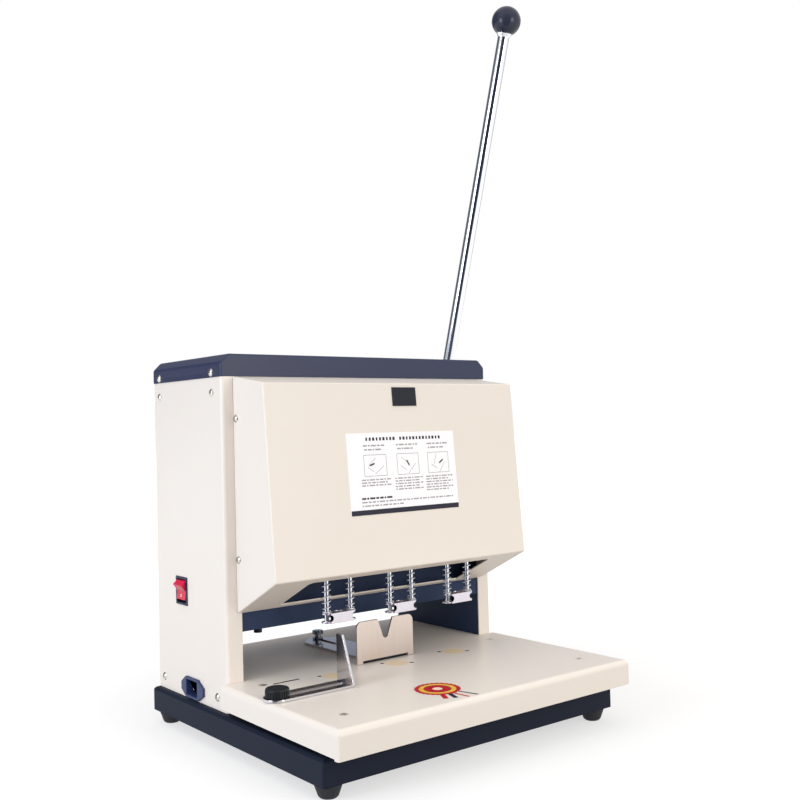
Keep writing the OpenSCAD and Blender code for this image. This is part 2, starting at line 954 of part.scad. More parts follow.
// Rocker on a pin through the bezel's walls, tilted so that its upper half stands out
module switch_rocker() {
    half_h = switch_body_h / 2 - switch_wall - 0.9;
    half_w = switch_body_w / 2 - switch_wall - slip;
    tip = [-5.2, half_h - 3.2];
    valley_x = -2;
    back_x = 4;
    pin_half = half_w + slip + switch_wall - running;
    color(red)
        translate([switch_pivot_x, switch_y, switch_z])
            rotate([0, -rocker_tilt, 0]) {
                along_y(-half_w, half_w)
                    polygon([[back_x, 1.3 - half_h], [1, -half_h], [tip[0], -tip[1]], [valley_x, 0],
                             tip, [1, half_h], [back_x, half_h - 1.3]]);
                translate([0, pin_half, 0])
                    rotate([90, 0, 0])
                        cylinder(r = switch_pin_r, h = 2 * pin_half);
            }
}

module power_inlet() {
    ear_h = 4;
    back_x = inlet_depth - column_x;
    color(black)
        difference() {
            union() {
                along_x(-column_x - inlet_proud, -column_x)
                    translate([inlet_y, inlet_z])
                        polygon([[inlet_ear_rear, ear_h], [inlet_half_w, inlet_half_h],
                                 [-inlet_half_w, inlet_half_h], [-inlet_ear_front, ear_h],
                                 [-inlet_ear_front, -ear_h], [-inlet_half_w, -inlet_half_h],
                                 [inlet_half_w, -inlet_half_h], [inlet_ear_rear, -ear_h]]);
                block([-column_x, inlet_y - inlet_body_w / 2, inlet_z - inlet_body_h / 2],
                      [back_x, inlet_y + inlet_body_w / 2, inlet_z + inlet_body_h / 2]);
            }
            block([-column_x - inlet_proud - past, inlet_y - inlet_body_w / 2 + inlet_wall,
                   inlet_z - inlet_body_h / 2 + inlet_wall],
                  [back_x - inlet_wall, inlet_y + inlet_body_w / 2 - inlet_wall,
                   inlet_z + inlet_body_h / 2 - inlet_wall]);
        }
}

module inlet_pins() {
    back_x = inlet_depth - inlet_wall - column_x;
    pin_len = 7;
    color(chrome)
        for (pin = [[-7, -2], [0, 2], [7, -2]])
            block([back_x - pin_len, inlet_y + pin[0] - 1, inlet_z + pin[1] - 2],
                  [back_x, inlet_y + pin[0] + 1, inlet_z + pin[1] + 2]);
}

// Lever parts, drawn along Z from the shaft and then leaned forward
module on_lever() {
    translate([lever_x, shaft_y, shaft_z])
        rotate([lever_lean, 0, 0])
            children();
}

module lever_shaft() {
    color(steel)
        bar_x(-plate_x1 - 1, lever_x + hub_w / 2 - 2, shaft_y, shaft_z, shaft_r);
}

module lever_hub() {
    color(black)
        difference() {
            bar_x(lever_x - hub_w / 2, lever_x + hub_w / 2, shaft_y, shaft_z, hub_r);
            bar_x(lever_x - hub_w / 2 - past, lever_x + hub_w / 2 - 2, shaft_y, shaft_z, shaft_r);
            on_lever()
                translate([0, 0, shaft_r + 1])
                    cylinder(r = lever_r, h = hub_r);
        }
}

// Lever rod: it flares below the ball and ends in a pin inside it
module lever_rod() {
    flare_h = 4.5;
    color(chrome)
        on_lever() {
            translate([0, 0, shaft_r + 1])
                cylinder(r = lever_r, h = ball_foot - shaft_r - 1);
            translate([0, 0, ball_foot - flare_h])
                cylinder(r1 = lever_r, r2 = flare_r, h = flare_h);
            translate([0, 0, ball_foot - past])
                cylinder(r = ball_pin_r, h = ball_r + past);
        }
}

module lever_knob() {
    color(black)
        on_lever()
            difference() {
                translate([0, 0, lever_len])
                    sphere(ball_r);
                translate([-ball_r, -ball_r, ball_foot - ball_r])
                    cube([2 * ball_r, 2 * ball_r, ball_r]);
                translate([0, 0, ball_foot - past])
                    cylinder(r = ball_pin_r, h = ball_r + past);
            }
}

function polar(r, angle) = [r * cos(angle), r * sin(angle)];

// Angle that a half width takes up at a radius
function half_angle(width, r) = width / r * 180 / PI;

// Toothed sectors on the lever shaft: a tooth at rest points at the rack
module sector_2d() {
    step = 360 / (2 * sector_r / tooth_module);
    tip_r = sector_r + addendum;
    root_r = sector_r - dedendum;
    tip = half_angle(0.38 * tooth_module - backlash, tip_r);
    pitch = half_angle(tooth_pitch / 4 - backlash, sector_r);
    root = half_angle(1.01 * tooth_module - backlash, root_r);
    polygon(concat(
        [[0, 0]],
        [for (i = [10:-1:-2])
            let (mid = 180 - i * step)
                each [polar(root_r, mid - root), polar(sector_r, mid - pitch), polar(tip_r, mid - tip),
                      polar(tip_r, mid + tip), polar(sector_r, mid + pitch), polar(root_r, mid + root)]]));
}

module sector_gears() {
    color(cast_grey)
        for (side = sides)
            difference() {
                union() {
                    along_x(side * rack_x - rack_w / 2, side * rack_x + rack_w / 2)
                        translate([shaft_y, shaft_z])
                            sector_2d();
                    bar_x(side * rack_x - rack_w, side * rack_x + rack_w, shaft_y, shaft_z, hub_r);
                }
                bar_x(side * rack_x - rack_w - past, side * rack_x + rack_w + past, shaft_y, shaft_z, shaft_r);
            }
}

// Racks: straight teeth that face the sectors, half a pitch from the sector's first tooth
module rack_2d() {
    flank = tan(pressure_angle);
    tip = tooth_pitch / 4 - addendum * flank - 0.05;
    root = tooth_pitch / 4 + dedendum * flank - 0.05;
    low = ceil((rack_z0 - shaft_z) / tooth_pitch);
    high = floor((rack_z1 - shaft_z) / tooth_pitch) - 1;
    translate([rack_front_y, rack_z0])
        square([rack_back_y - dedendum - rack_front_y, rack_z1 - rack_z0]);
    for (i = [low:high])
        translate([rack_back_y, shaft_z + (i + 0.5) * tooth_pitch])
            polygon([[-dedendum - 0.1, -root], [-dedendum, -root], [addendum - 0.2, -tip],
                     [addendum - 0.2, tip], [-dedendum, root], [-dedendum - 0.1, root]]);
}

module racks() {
    color(steel)
        for (side = sides)
            along_x(side * rack_x - rack_w / 2, side * rack_x + rack_w / 2)
                rack_2d();
}

// Places children at the three spindles
module at_holes() {
    for (x = holes_x)
        translate([x, 0, 0])
            children();
}

// Places children at the two rods of a presser
module at_rods() {
    for (dx = [-rod_gap / 2, rod_gap / 2])
        translate([dx, 0, 0])
            children();
}

// Front plate of the carriage, with its front corners cut off to pass the hood's cut-out
module carriage_plate() {
    corner_x = carriage_x - hood_cut_r;
    corner_y = carriage_y0 + hood_cut_r;
    color(cast_grey)
        difference() {
            union() {
                translate([0, 0, plate_z0])
                    linear_extrude(carriage_t)
                        polygon([[-corner_x, carriage_y0], [corner_x, carriage_y0], [carriage_x, corner_y],
                                 [carriage_x, back_y0], [-carriage_x, back_y0], [-carriage_x, corner_y]]);
                at_holes() {
                    translate([0, 0, plate_z0 - boss_h])
                        cylinder(r = boss_r, h = boss_h + past);
                    at_rods()
                        translate([0, 0, seat_z])
                            cylinder(r = seat_r, h = plate_z0 - seat_z + past);
                }
            }
            at_holes() {
                translate([0, 0, plate_z0 - boss_h - past])
                    cylinder(r = spindle_r + running, h = boss_h + carriage_t + 2 * past);
                at_rods()
                    translate([0, 0, seat_z - past])
                        cylinder(r = rod_r + running, h = plate_z1 - seat_z + 2 * past);
            }
        }
}

// Back of the carriage: a plate with wings for the guides, arms for the racks and a motor shelf
module carriage_back() {
    shelf_x = motor_r + 4;
    color(cast_grey)
        difference() {
            union() {
                block([-carriage_x, back_y0, plate_z0], [carriage_x, back_y1, back_z1]);
                block([-wing_x, back_y0, wing_z0], [wing_x, back_y1, back_z1]);
                for (side = sides) {
                    block([side * rack_x - rack_w / 2, back_y1 - past, cheek_z0],
                          [side * rack_x + rack_w / 2, rack_front_y, back_z1]);
                    block([side * guide_x - guide_web, back_y1 - past, cheek_z0],
                          [side * guide_x + guide_web, guide_y - guide_r, back_z1]);
                    translate([side * guide_x, guide_y, cheek_z0])
                        cylinder(r = guide_boss_r, h = back_z1 - cheek_z0);
                }
                block([-shelf_x, back_y1 - past, shelf_z0], [shelf_x, motor_y + motor_r, shelf_z0 + shelf_t]);
            }
            for (side = sides)
                translate([side * guide_x, guide_y, cheek_z0 - past])
                    cylinder(r = guide_r + 1.5, h = back_z1 - cheek_z0 + 2 * past);
            block([-pulley_r - 5, back_y0 - past, plate_z1 + 1], [pulley_r + 5, back_y1 + past, shelf_z0]);
            translate([0, motor_y, shelf_z0 - past])
                cylinder(r = spindle_r + 1, h = shelf_t + 2 * past);
        }
}

module guide_bushes() {
    color(brass)
        for (side = sides)
            translate([side * guide_x, guide_y, cheek_z0])
                difference() {
                    cylinder(r = guide_r + 1.5, h = back_z1 - cheek_z0 + 2);
                    translate([0, 0, -past])
                        cylinder(r = guide_r + running, h = back_z1 - cheek_z0 + 2 + 2 * past);
                }
}

module motor() {
    color(dark_navy)
        translate([0, motor_y, shelf_z0 + shelf_t]) {
            cylinder(r = motor_r, h = motor_h);
            translate([0, 0, motor_h - past])
                cylinder(r = motor_r * 0.6, h = motor_cap_h + past);
        }
}

module pulley(z) {
    translate([0, 0, z])
        cylinder(r = pulley_r, h = belt_w);
    for (edge = [z - 1, z + belt_w])
        translate([0, 0, edge])
            cylinder(r = pulley_r + 1, h = 1);
}

module motor_pulley() {
    color(steel)
        translate([0, motor_y, 0]) {
            pulley(motor_belt_z);
            translate([0, 0, motor_belt_z])
                cylinder(r = spindle_r, h = shelf_z0 + shelf_t - slip - motor_belt_z);
        }
}

// A belt round two equal pulleys, given by their centres
module belt(a, b, z) {
    translate([0, 0, z + slip])
        linear_extrude(belt_w - 2 * slip)
            difference() {
                slot_2d(a, b, belt_out);
                slot_2d(a, b, belt_in);
            }
}

// One belt from the motor to the middle spindle, and one from there to each side spindle
module drive_belts() {
    color(black) {
        belt([0, 0], [0, motor_y], motor_belt_z);
        belt([-hole_pitch, 0], [0, 0], belt_z0);
        belt([0, 0], [hole_pitch, 0], belt_z0 + belt_step);
    }
}

// Spindle with its pulleys above the carriage plate and its chuck below
module spindle(x, levels) {
    top = belt_z0 + (max(levels) + 1) * belt_step;
    color(steel)
        translate([x, 0, 0])
            difference() {
                union() {
                    translate([0, 0, chuck_z0])
                        cylinder(r = spindle_r, h = top - chuck_z0);
                    translate([0, 0, chuck_z0])
                        cylinder(r = chuck_r, h = chuck_z1 - chuck_z0);
                    for (level = levels)
                        pulley(belt_z0 + level * belt_step);
                }
                translate([0, 0, chuck_z0 - past])
                    cylinder(r = drill_r, h = chuck_socket + past);
            }
}

module spindle_left() { spindle(-hole_pitch, [0]); }
module spindle_middle() { spindle(0, [0, 1, 2]); }
module spindle_right() { spindle(hole_pitch, [1]); }

// Hollow drill with a bevelled cutting edge
module drill(x) {
    bore = drill_r - 0.8;
    bevel = 3;
    length = chuck_z0 + chuck_socket - drill_z;
    color(chrome)
        translate([x, 0, drill_z])
            difference() {
                union() {
                    cylinder(r1 = bore + 0.2, r2 = drill_r, h = bevel);
                    translate([0, 0, bevel])
                        cylinder(r = drill_r, h = length - bevel);
                }
                translate([0, 0, -past])
                    cylinder(r = bore, h = length + 2 * past);
            }
}

module drill_left() { drill(-hole_pitch); }
module drill_middle() { drill(0); }
module drill_right() { drill(hole_pitch); }

// Outline of a presser bar's flange: round ends about the rods and a straight front
module bar_flange_2d() {
    half = rod_gap / 2;
    slot_2d([-half, 0], [half, 0], bar_end_r);
    translate([-half, bar_web_y])
        square([rod_gap, -bar_web_y]);
}

// Presser bar: a channel whose front web has fish-mouth ends
module presser_bar(x) {
    half = rod_gap / 2;
    mouth = 3.2;
    color(chrome)
        translate([x, 0, presser_z])
            difference() {
                union() {
                    linear_extrude(bar_sheet)
                        bar_flange_2d();
                    translate([0, 0, bar_h - bar_sheet])
                        linear_extrude(bar_sheet)
                            bar_flange_2d();
                    along_y(bar_web_y, bar_web_y + bar_sheet)
                        difference() {
                            translate([-half, 0])
                                square([rod_gap, bar_h]);
                            for (dx = [-half, half])
                                translate([dx, bar_h / 2])
                                    circle(mouth);
                        }
                }
                translate([0, 0, -past])
                    cylinder(r = drill_r + 1.5, h = bar_h + 2 * past);
                at_rods()
                    translate([0, 0, -past])
                        cylinder(r = rod_r, h = bar_h + 2 * past);
            }
}

module presser_bar_left() { presser_bar(-hole_pitch); }
module presser_bar_middle() { presser_bar(0); }
module presser_bar_right() { presser_bar(hole_pitch); }

// Presser rods, each with a collar that rests on the carriage plate
module presser_rods(x) {
    color(chrome)
        translate([x, 0, 0])
            at_rods() {
                translate([0, 0, presser_z])
                    cylinder(r = rod_r, h = rod_top - presser_z);
                translate([0, 0, plate_z1 + slip])
                    cylinder(r = rod_collar_r, h = 2.5);
            }
}

module presser_rods_left() { presser_rods(-hole_pitch); }
module presser_rods_middle() { presser_rods(0); }
module presser_rods_right() { presser_rods(hole_pitch); }

// Centre line of a presser spring: straight ends of one wire diameter and a helix between
spring_z0 = bar_top + slip;
spring_z1 = seat_z - slip;
spring_rings = spring_turns * rings_per_turn;
spring_rise = spring_z1 - spring_z0 - 2 * wire_d;
spring_path = concat(
    [[spring_r, 0, spring_z0]],
    [for (i = [0:spring_rings])
        let (turn = 360 * i / rings_per_turn)
            [spring_r * cos(turn), spring_r * sin(turn), spring_z0 + wire_d + spring_rise * i / spring_rings]],
    [[spring_r, 0, spring_z1]]);

function ring_turn(i) = 360 / rings_per_turn * min(max(i - 1, 0), spring_rings);

// Direction of the wire at a ring, straight up at both ends
function unit(v) = v / norm(v);
function ring_tangent(i) =
    i == 0 || i == len(spring_path) - 1
        ? [0, 0, 1]
        : unit(unit(spring_path[i + 1] - spring_path[i]) + unit(spring_path[i] - spring_path[i - 1]));

// Corners of one ring across the wire
function wire_ring(i) =
    let (out = [cos(ring_turn(i)), sin(ring_turn(i)), 0],
         along = ring_tangent(i),
         side = unit(cross(along, out)),
         flat = cross(side, along))
    [for (k = [0:wire_sides - 1])
        spring_path[i] + wire_d / 2 * (cos(360 * k / wire_sides) * flat + sin(360 * k / wire_sides) * side)];

spring_points = [for (i = [0:len(spring_path) - 1]) each wire_ring(i)];

function wire_corner(i, k) = i * wire_sides + k % wire_sides;

spring_faces = concat(
    [for (i = [0:len(spring_path) - 2], k = [0:wire_sides - 1])
        each [[wire_corner(i, k), wire_corner(i + 1, k + 1), wire_corner(i, k + 1)],
              [wire_corner(i, k), wire_corner(i + 1, k), wire_corner(i + 1, k + 1)]]],
    [for (k = [1:wire_sides - 2]) [0, wire_corner(0, k), wire_corner(0, k + 1)]],
    [for (k = [1:wire_sides - 2])
        let (last = len(spring_path) - 1)
            [wire_corner(last, 0), wire_corner(last, k + 1), wire_corner(last, k)]]);

// Least gap between turns of one spring, measured on its own corner points
spring_gap = min([for (i = [0:len(spring_path) - 1 - rings_per_turn])
    let (near = wire_ring(i), far = wire_ring(i + rings_per_turn))
        min([for (a = near, b = far) norm(a - b)])]);
echo("least gap of a presser spring to itself, in mm:", spring_gap);

module presser_springs(x) {
    color(steel)
        translate([x, 0, 0])
            at_rods()
                polyhedron(points = spring_points, faces = spring_faces);
}

module presser_springs_left() { presser_springs(-hole_pitch); }
module presser_springs_middle() { presser_springs(0); }
module presser_springs_right() { presser_springs(hole_pitch); }

// Side gauge: a slotted arm on the table with an upright fence at its right end
module side_gauge() {
    top_y = arm_y1 - side_fence_top;
    color(steel) {
        translate([0, 0, gauge_z])
            linear_extrude(gauge_t)
                difference() {
                    union() {
                        translate([knob_x, arm_mid_y])
                            circle(arm_w / 2);
                        translate([knob_x, arm_y0])
                            square([side_fence_x - knob_x, arm_w]);
                    }
                    slot_2d([knob_x, arm_mid_y], [side_slot_end_x, arm_mid_y], slot_r);
                }
        along_x(side_fence_x - gauge_t, side_fence_x)
            polygon([[arm_y1, gauge_z], [arm_y1, gauge_z + side_fence_h], [top_y, gauge_z + side_fence_h],
                     [arm_y0, gauge_z + gauge_t], [arm_y0, gauge_z]]);
    }
}

// Knurled clamping knob; its screw goes through the arm's slot into the table
module side_gauge_knob() {
    grooves = 28;
    z0 = gauge_z + gauge_t + slip;
    color(black)
        translate([knob_x, arm_mid_y, 0]) {
            difference() {
                translate([0, 0, z0])
                    cylinder(r = knob_r, h = knob_h);
                for (i = [1:grooves])
                    rotate(i * 360 / grooves)
                        translate([knob_r + 0.3, 0, z0 - past])
                            cylinder(r = 0.8, h = knob_h - 1 + past);
            }
            translate([0, 0, table_z - table_t - 6])
                cylinder(r = gauge_screw_r, h = z0 - table_z + table_t + 6 + past);
        }
}

// Outline of the back gauge's fence: notch in its top edge and a recess between two feet
module back_fence_2d() {
    half = back_gauge_w / 2;
    corner = 7;
    notch = 10.3;
    notch_r = 4;
    notch_z = fence_h - 17;
    foot = 7.5;
    difference() {
        union() {
            round_rect([-half, 0], [half, fence_h], corner);
            translate([-half, 0])
                square([back_gauge_w, corner + past]);
        }
        polygon([[-notch, fence_h + past], [-notch_r, notch_z], [notch_r, notch_z], [notch, fence_h + past]]);
        translate([0, notch_z])
            circle(notch_r);
        translate([foot - half, -past])
            square([back_gauge_w - 2 * foot, past + gauge_t + slip]);
    }
}

// Back gauge: a fence in front and a slotted tail with cut corners that lies on the table
module back_gauge() {
    half = back_gauge_w / 2;
    tail = back_tail_w / 2;
    lap = 0.5;
    root_y = back_margin + gauge_t - lap;
    narrow_y = root_y + back_shoulder;
    corner_y = back_tail_y - back_tail_corner;
    end = tail - back_tail_corner;
    slot_y0 = back_screw_y - back_slot_len;
    color(steel) {
        translate([0, 0, gauge_z])
            along_y(back_margin, back_margin + gauge_t)
                back_fence_2d();
        translate([0, 0, gauge_z])
            linear_extrude(gauge_t)
                difference() {
                    polygon([[-half, root_y], [half, root_y], [tail, narrow_y], [tail, corner_y],
                             [end, back_tail_y], [-end, back_tail_y], [-tail, corner_y], [-tail, narrow_y]]);
                    slot_2d([0, slot_y0], [0, back_screw_y], slot_r);
                }
    }
}

// Thumb screw of the back gauge
module back_gauge_screw() {
    z0 = gauge_z + gauge_t + slip;
    color(chrome)
        translate([0, back_screw_y, 0]) {
            translate([0, 0, z0])
                cylinder(r = 6, h = 2);
            translate([0, 0, z0 + 2])
                cylinder(r = 3.5, h = 4);
            translate([0, 0, z0 + 6])
                cylinder(r = 6.5, h = 4);
            translate([0, 0, table_z - table_t - 6])
                cylinder(r = gauge_screw_r, h = z0 - table_z + table_t + 6 + past);
        }
}

base_tray();
rubber_feet();
table_plate();
table_posts();
table_screws();
cutting_discs();
disc_screws();
side_plate_left();
side_plate_right();
side_cover_left();
side_cover_right();
cover_standoffs();
cover_screws();
top_cover_screws();
rear_panel();
top_cover();
front_hood();
hood_label();
hood_nameplate();
lower_beam();
guide_columns();
column_bolts();
top_bridge();
shaft_bushes();
return_spring();
switch_bezel();
switch_rocker();
power_inlet();
inlet_pins();
lever_shaft();
lever_hub();
lever_rod();
lever_knob();
sector_gears();
racks();
carriage_plate();
carriage_back();
guide_bushes();
motor();
motor_pulley();
drive_belts();
spindle_left();
spindle_middle();
spindle_right();
drill_left();
drill_middle();
drill_right();
presser_bar_left();
presser_bar_middle();
presser_bar_right();
presser_rods_left();
presser_rods_middle();
presser_rods_right();
presser_springs_left();
presser_springs_middle();
presser_springs_right();
side_gauge();
side_gauge_knob();
back_gauge();
back_gauge_screw();
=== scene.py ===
# %% [markdown]
# # A desk-top paper drill
# The machine drills three filing holes through a stack of paper. A long lever lowers the drills, and
# sprung pressers hold the sheets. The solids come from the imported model, which is loaded first and
# stays where it is. This lesson rounds the folded sheet metal, models the small parts that the eye
# looks for, and gives every surface its finish.

# %% Load the frame
import json
import math

import bmesh
import bpy
from mathutils import Matrix, Vector

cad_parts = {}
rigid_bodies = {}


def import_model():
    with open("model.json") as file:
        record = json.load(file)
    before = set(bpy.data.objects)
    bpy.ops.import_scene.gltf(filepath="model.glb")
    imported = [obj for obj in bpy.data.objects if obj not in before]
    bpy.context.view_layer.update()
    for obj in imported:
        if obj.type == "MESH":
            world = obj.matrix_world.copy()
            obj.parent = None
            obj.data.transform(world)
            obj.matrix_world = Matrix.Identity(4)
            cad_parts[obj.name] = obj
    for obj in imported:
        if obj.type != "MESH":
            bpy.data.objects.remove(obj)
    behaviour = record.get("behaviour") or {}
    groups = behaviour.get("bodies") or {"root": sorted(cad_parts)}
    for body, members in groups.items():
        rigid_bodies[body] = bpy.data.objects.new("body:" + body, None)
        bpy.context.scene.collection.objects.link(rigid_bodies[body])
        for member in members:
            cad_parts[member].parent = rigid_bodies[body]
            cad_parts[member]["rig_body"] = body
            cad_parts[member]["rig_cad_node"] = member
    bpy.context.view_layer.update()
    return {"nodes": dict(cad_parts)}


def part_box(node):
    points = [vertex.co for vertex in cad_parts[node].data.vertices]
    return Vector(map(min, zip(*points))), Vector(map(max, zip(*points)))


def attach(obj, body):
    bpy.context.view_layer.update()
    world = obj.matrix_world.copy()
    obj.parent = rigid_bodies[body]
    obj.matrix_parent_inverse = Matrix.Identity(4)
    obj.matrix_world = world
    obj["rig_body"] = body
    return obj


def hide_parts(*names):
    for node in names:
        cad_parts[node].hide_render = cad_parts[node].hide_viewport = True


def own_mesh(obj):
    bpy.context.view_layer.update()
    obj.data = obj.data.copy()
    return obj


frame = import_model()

scene = bpy.context.scene
nodes = frame["nodes"]
MM = 0.001

# %% [markdown]
# ## Camera
# The picture was taken from the front left, a little below the hood, with a normal lens. The camera's
# place and turn were worked out from the corners of the machine. A matrix made from the view's right,
# up and back directions sets all three turns at once, which avoids mixing up the order of angles.

# %% Camera
azimuth, rise, roll = (math.radians(a) for a in (38.12, 1.51, -1.44))
forward = Vector((math.sin(azimuth) * math.cos(rise), math.cos(azimuth) * math.cos(rise), math.sin(rise)))
level_right = Vector((math.cos(azimuth), -math.sin(azimuth), 0.0))
level_up = level_right.cross(forward)
view_right = math.cos(roll) * level_right + math.sin(roll) * level_up
view_up = -math.sin(roll) * level_right + math.cos(roll) * level_up

camera_data = bpy.data.cameras.new("photo_camera")
camera_data.sensor_width = 36.0
camera_data.lens = 45.64
camera_data.clip_start = 0.01
camera = bpy.data.objects.new("photo_camera", camera_data)
scene.collection.objects.link(camera)
turn = Matrix((view_right, view_up, -forward)).transposed().to_4x4()
camera.matrix_world = Matrix.Translation(Vector((-665.4, -855.7, 320.6)) * MM) @ turn
scene.camera = camera
scene.view_settings.view_transform = "Standard"
print("camera at", [round(x, 3) for x in camera.matrix_world.translation])

# %% [markdown]
# ## Nodes and colours
# Materials are small graphs. One function adds a node, sets its properties and fills its inputs, either
# with a number or with another node's output. Colours are written as they look on a screen, and one
# function turns them into the linear values that the shader works with.

# %% Node and colour helpers
def add_node(tree, kind, inputs, **settings):
    """Adds a node, or takes one that exists, sets its properties and fills or links its inputs."""
    node = kind if isinstance(kind, bpy.types.Node) else tree.nodes.new(kind)
    for name, value in settings.items():
        setattr(node, name, value)
    for name, value in inputs.items():
        if isinstance(value, bpy.types.NodeSocket):
            tree.links.new(value, node.inputs[name])
        else:
            node.inputs[name].default_value = value
    return node


def to_linear(colour):
    """Turns an sRGB hex colour into linear RGBA."""
    channels = [int(colour[i:i + 2], 16) / 255 for i in (1, 3, 5)]
    return [c / 12.92 if c <= 0.04045 else ((c + 0.055) / 1.055) ** 2.4 for c in channels] + [1.0]


def per_mm(size):
    """Texture scale that gives a pattern of this size in millimetres."""
    return 1000.0 / size


# %% [markdown]
# ## Light
# The machine stands in a white studio, whose walls and ceiling give most of the light, more from above
# than from the sides and least from behind. A cool softbox faces its left side and a neutral one its
# front, so that the two sides differ a little in tone. Their strengths were found by rendering each light
# alone and weighing the pictures, so that a colour comes out about as it is written. Polished surfaces
# need something dark to show their shape, so cards stand in the room, seen in reflections alone: a black
# one behind the camera, two at the back, left and right, which draw the edges of the rods, and a
# blue-grey one for the table.

# %% World
AMBIENT_HIGH = 1.26
AMBIENT_LOW = 0.9
AMBIENT_REAR = 0.5
world = bpy.data.worlds.new("studio")
world.use_nodes = True
scene.world = world
sky = world.node_tree
sky.nodes.clear()


def seen_share(tree):
    """Two values: 1 for rays that the camera sees, mirrored ones too, and 1 for mirrored rays alone."""
    path = add_node(tree, "ShaderNodeLightPath", {})
    share = path.outputs["Is Camera Ray"]
    for kind in ("Is Glossy Ray", "Is Transmission Ray"):
        share = add_node(tree, "ShaderNodeMath", {0: share, 1: path.outputs[kind]},
                         operation="MAXIMUM").outputs[0]
    return share, path.outputs["Is Glossy Ray"]


seen, mirrored = seen_share(sky)
direction = add_node(sky, "ShaderNodeTexCoord", {}).outputs["Generated"]
height = add_node(sky, "ShaderNodeSeparateXYZ", {"Vector": direction})
gentle = add_node(sky, "ShaderNodeMapRange", {"Value": height.outputs["Z"], "From Max": 0.8,
                                              "To Min": AMBIENT_LOW, "To Max": AMBIENT_HIGH})
toward = add_node(sky, "ShaderNodeVectorMath", {0: direction, 1: -forward}, operation="DOT_PRODUCT")
front_share = add_node(sky, "ShaderNodeMapRange", {"Value": toward.outputs["Value"], "From Min": -0.5,
                                                   "From Max": 0.5, "To Min": AMBIENT_REAR})
gentle = add_node(sky, "ShaderNodeMath", {0: gentle.outputs[0], 1: front_share.outputs[0]},
                  operation="MULTIPLY")
level = add_node(sky, "ShaderNodeMix", {"Factor": seen, 2: gentle.outputs[0], 3: 1.0})
BLACK_CARD = to_linear("#34374A")
BLUE_CARD = to_linear("#5A6883")
# for each card: where it hangs, the cosines at its rim and at its core, its depth and its colour
CARDS = [(-forward, 0.72, 0.93, 0.86, BLACK_CARD),
         (Vector((-0.45, 0.85, 0.28)).normalized(), 0.72, 0.88, 0.9, BLACK_CARD),
         (Vector((0.93, 0.35, 0.12)).normalized(), 0.93, 0.98, 0.6, BLACK_CARD),
         (Vector((0.60, 0.77, 0.2)).normalized(), 0.9, 0.975, 0.8, BLUE_CARD)]
room = (1.0, 1.0, 1.0, 1.0)
for aim, rim, core, depth, colour in CARDS:
    facing = add_node(sky, "ShaderNodeVectorMath", {0: direction, 1: aim}, operation="DOT_PRODUCT")
    card = add_node(sky, "ShaderNodeMapRange", {"Value": facing.outputs["Value"], "From Min": rim,
                                                "From Max": core, "To Max": depth})
    card = add_node(sky, "ShaderNodeMath", {0: card.outputs[0], 1: mirrored}, operation="MULTIPLY")
    room = add_node(sky, "ShaderNodeMix", {"Factor": card.outputs[0], 6: room, 7: colour},
                    data_type="RGBA").outputs[2]
backdrop = add_node(sky, "ShaderNodeBackground", {"Color": room, "Strength": level.outputs[0]})
add_node(sky, "ShaderNodeOutputWorld", {"Surface": backdrop.outputs[0]})
print("world lights the paint at", AMBIENT_LOW, "to", AMBIENT_HIGH)

# %% Softboxes
TARGET = Vector((0.0, 0.03, 0.2))


def softbox(name, spot, width, height, watts, tint):
    """A rectangular lamp at a place in metres that faces the machine."""
    lamp = bpy.data.lights.new(name, "AREA")
    lamp.shape = "RECTANGLE"
    lamp.size, lamp.size_y, lamp.energy = width, height, watts
    lamp.color = to_linear(tint)[:3]
    holder = bpy.data.objects.new(name, lamp)
    scene.collection.objects.link(holder)
    holder.location = spot
    holder.rotation_euler = (TARGET - Vector(spot)).to_track_quat("-Z", "Y").to_euler()
    return holder


softbox("left_softbox", (-1.6, -0.05, 0.55), 0.6, 0.8, 11.9, "#E1EDFF")
softbox("front_softbox", (0.35, -1.6, 0.6), 0.6, 0.8, 7.2, "#FFFBF3")
print("two softboxes")

# %% [markdown]
# ## Floor
# The floor is a pale sheet that keeps the machine's shadow. To the camera and in mirrors it glows, more
# with the distance, so that it runs into the white background without an edge. The glow lights nothing,
# so the light that the sheet throws back onto the machine stays plain. The leaning lever mirrors the
# floor before it, so the black card goes on there, again in reflections alone.

# %% Floor
FLOOR_TONE = to_linear("#A6A5A4")
FLOOR_SIDE = 40.0
CARD_RIM, CARD_CORE = 0.72, 0.9
CARD_START, CARD_FULL = 0.3, 0.5
GLOW_NEAR, GLOW_FAR = 0.3, 1.6
GLOW_SHARE = 0.62
bpy.ops.object.select_all(action="DESELECT")
bpy.ops.mesh.primitive_plane_add(size=FLOOR_SIDE)
floor = bpy.context.active_object
floor.name = "studio_floor"
paper = bpy.data.materials.new("white_studio_paper")
paper.use_nodes = True
sheet = paper.node_tree
sheet.nodes.clear()
seen, mirrored = seen_share(sheet)
spot = add_node(sheet, "ShaderNodeNewGeometry", {}).outputs["Position"]
away = add_node(sheet, "ShaderNodeVectorMath", {0: spot}, operation="LENGTH")
bearing = add_node(sheet, "ShaderNodeVectorMath", {0: spot}, operation="NORMALIZE")
facing = add_node(sheet, "ShaderNodeVectorMath", {0: bearing.outputs[0], 1: -forward},
                  operation="DOT_PRODUCT")
strip = add_node(sheet, "ShaderNodeMapRange", {"Value": facing.outputs["Value"], "From Min": CARD_RIM,
                                               "From Max": CARD_CORE})
start = add_node(sheet, "ShaderNodeMapRange", {"Value": away.outputs["Value"], "From Min": CARD_START,
                                               "From Max": CARD_FULL})
card = add_node(sheet, "ShaderNodeMath", {0: strip.outputs[0], 1: start.outputs[0]}, operation="MULTIPLY")
card = add_node(sheet, "ShaderNodeMath", {0: card.outputs[0], 1: mirrored}, operation="MULTIPLY")
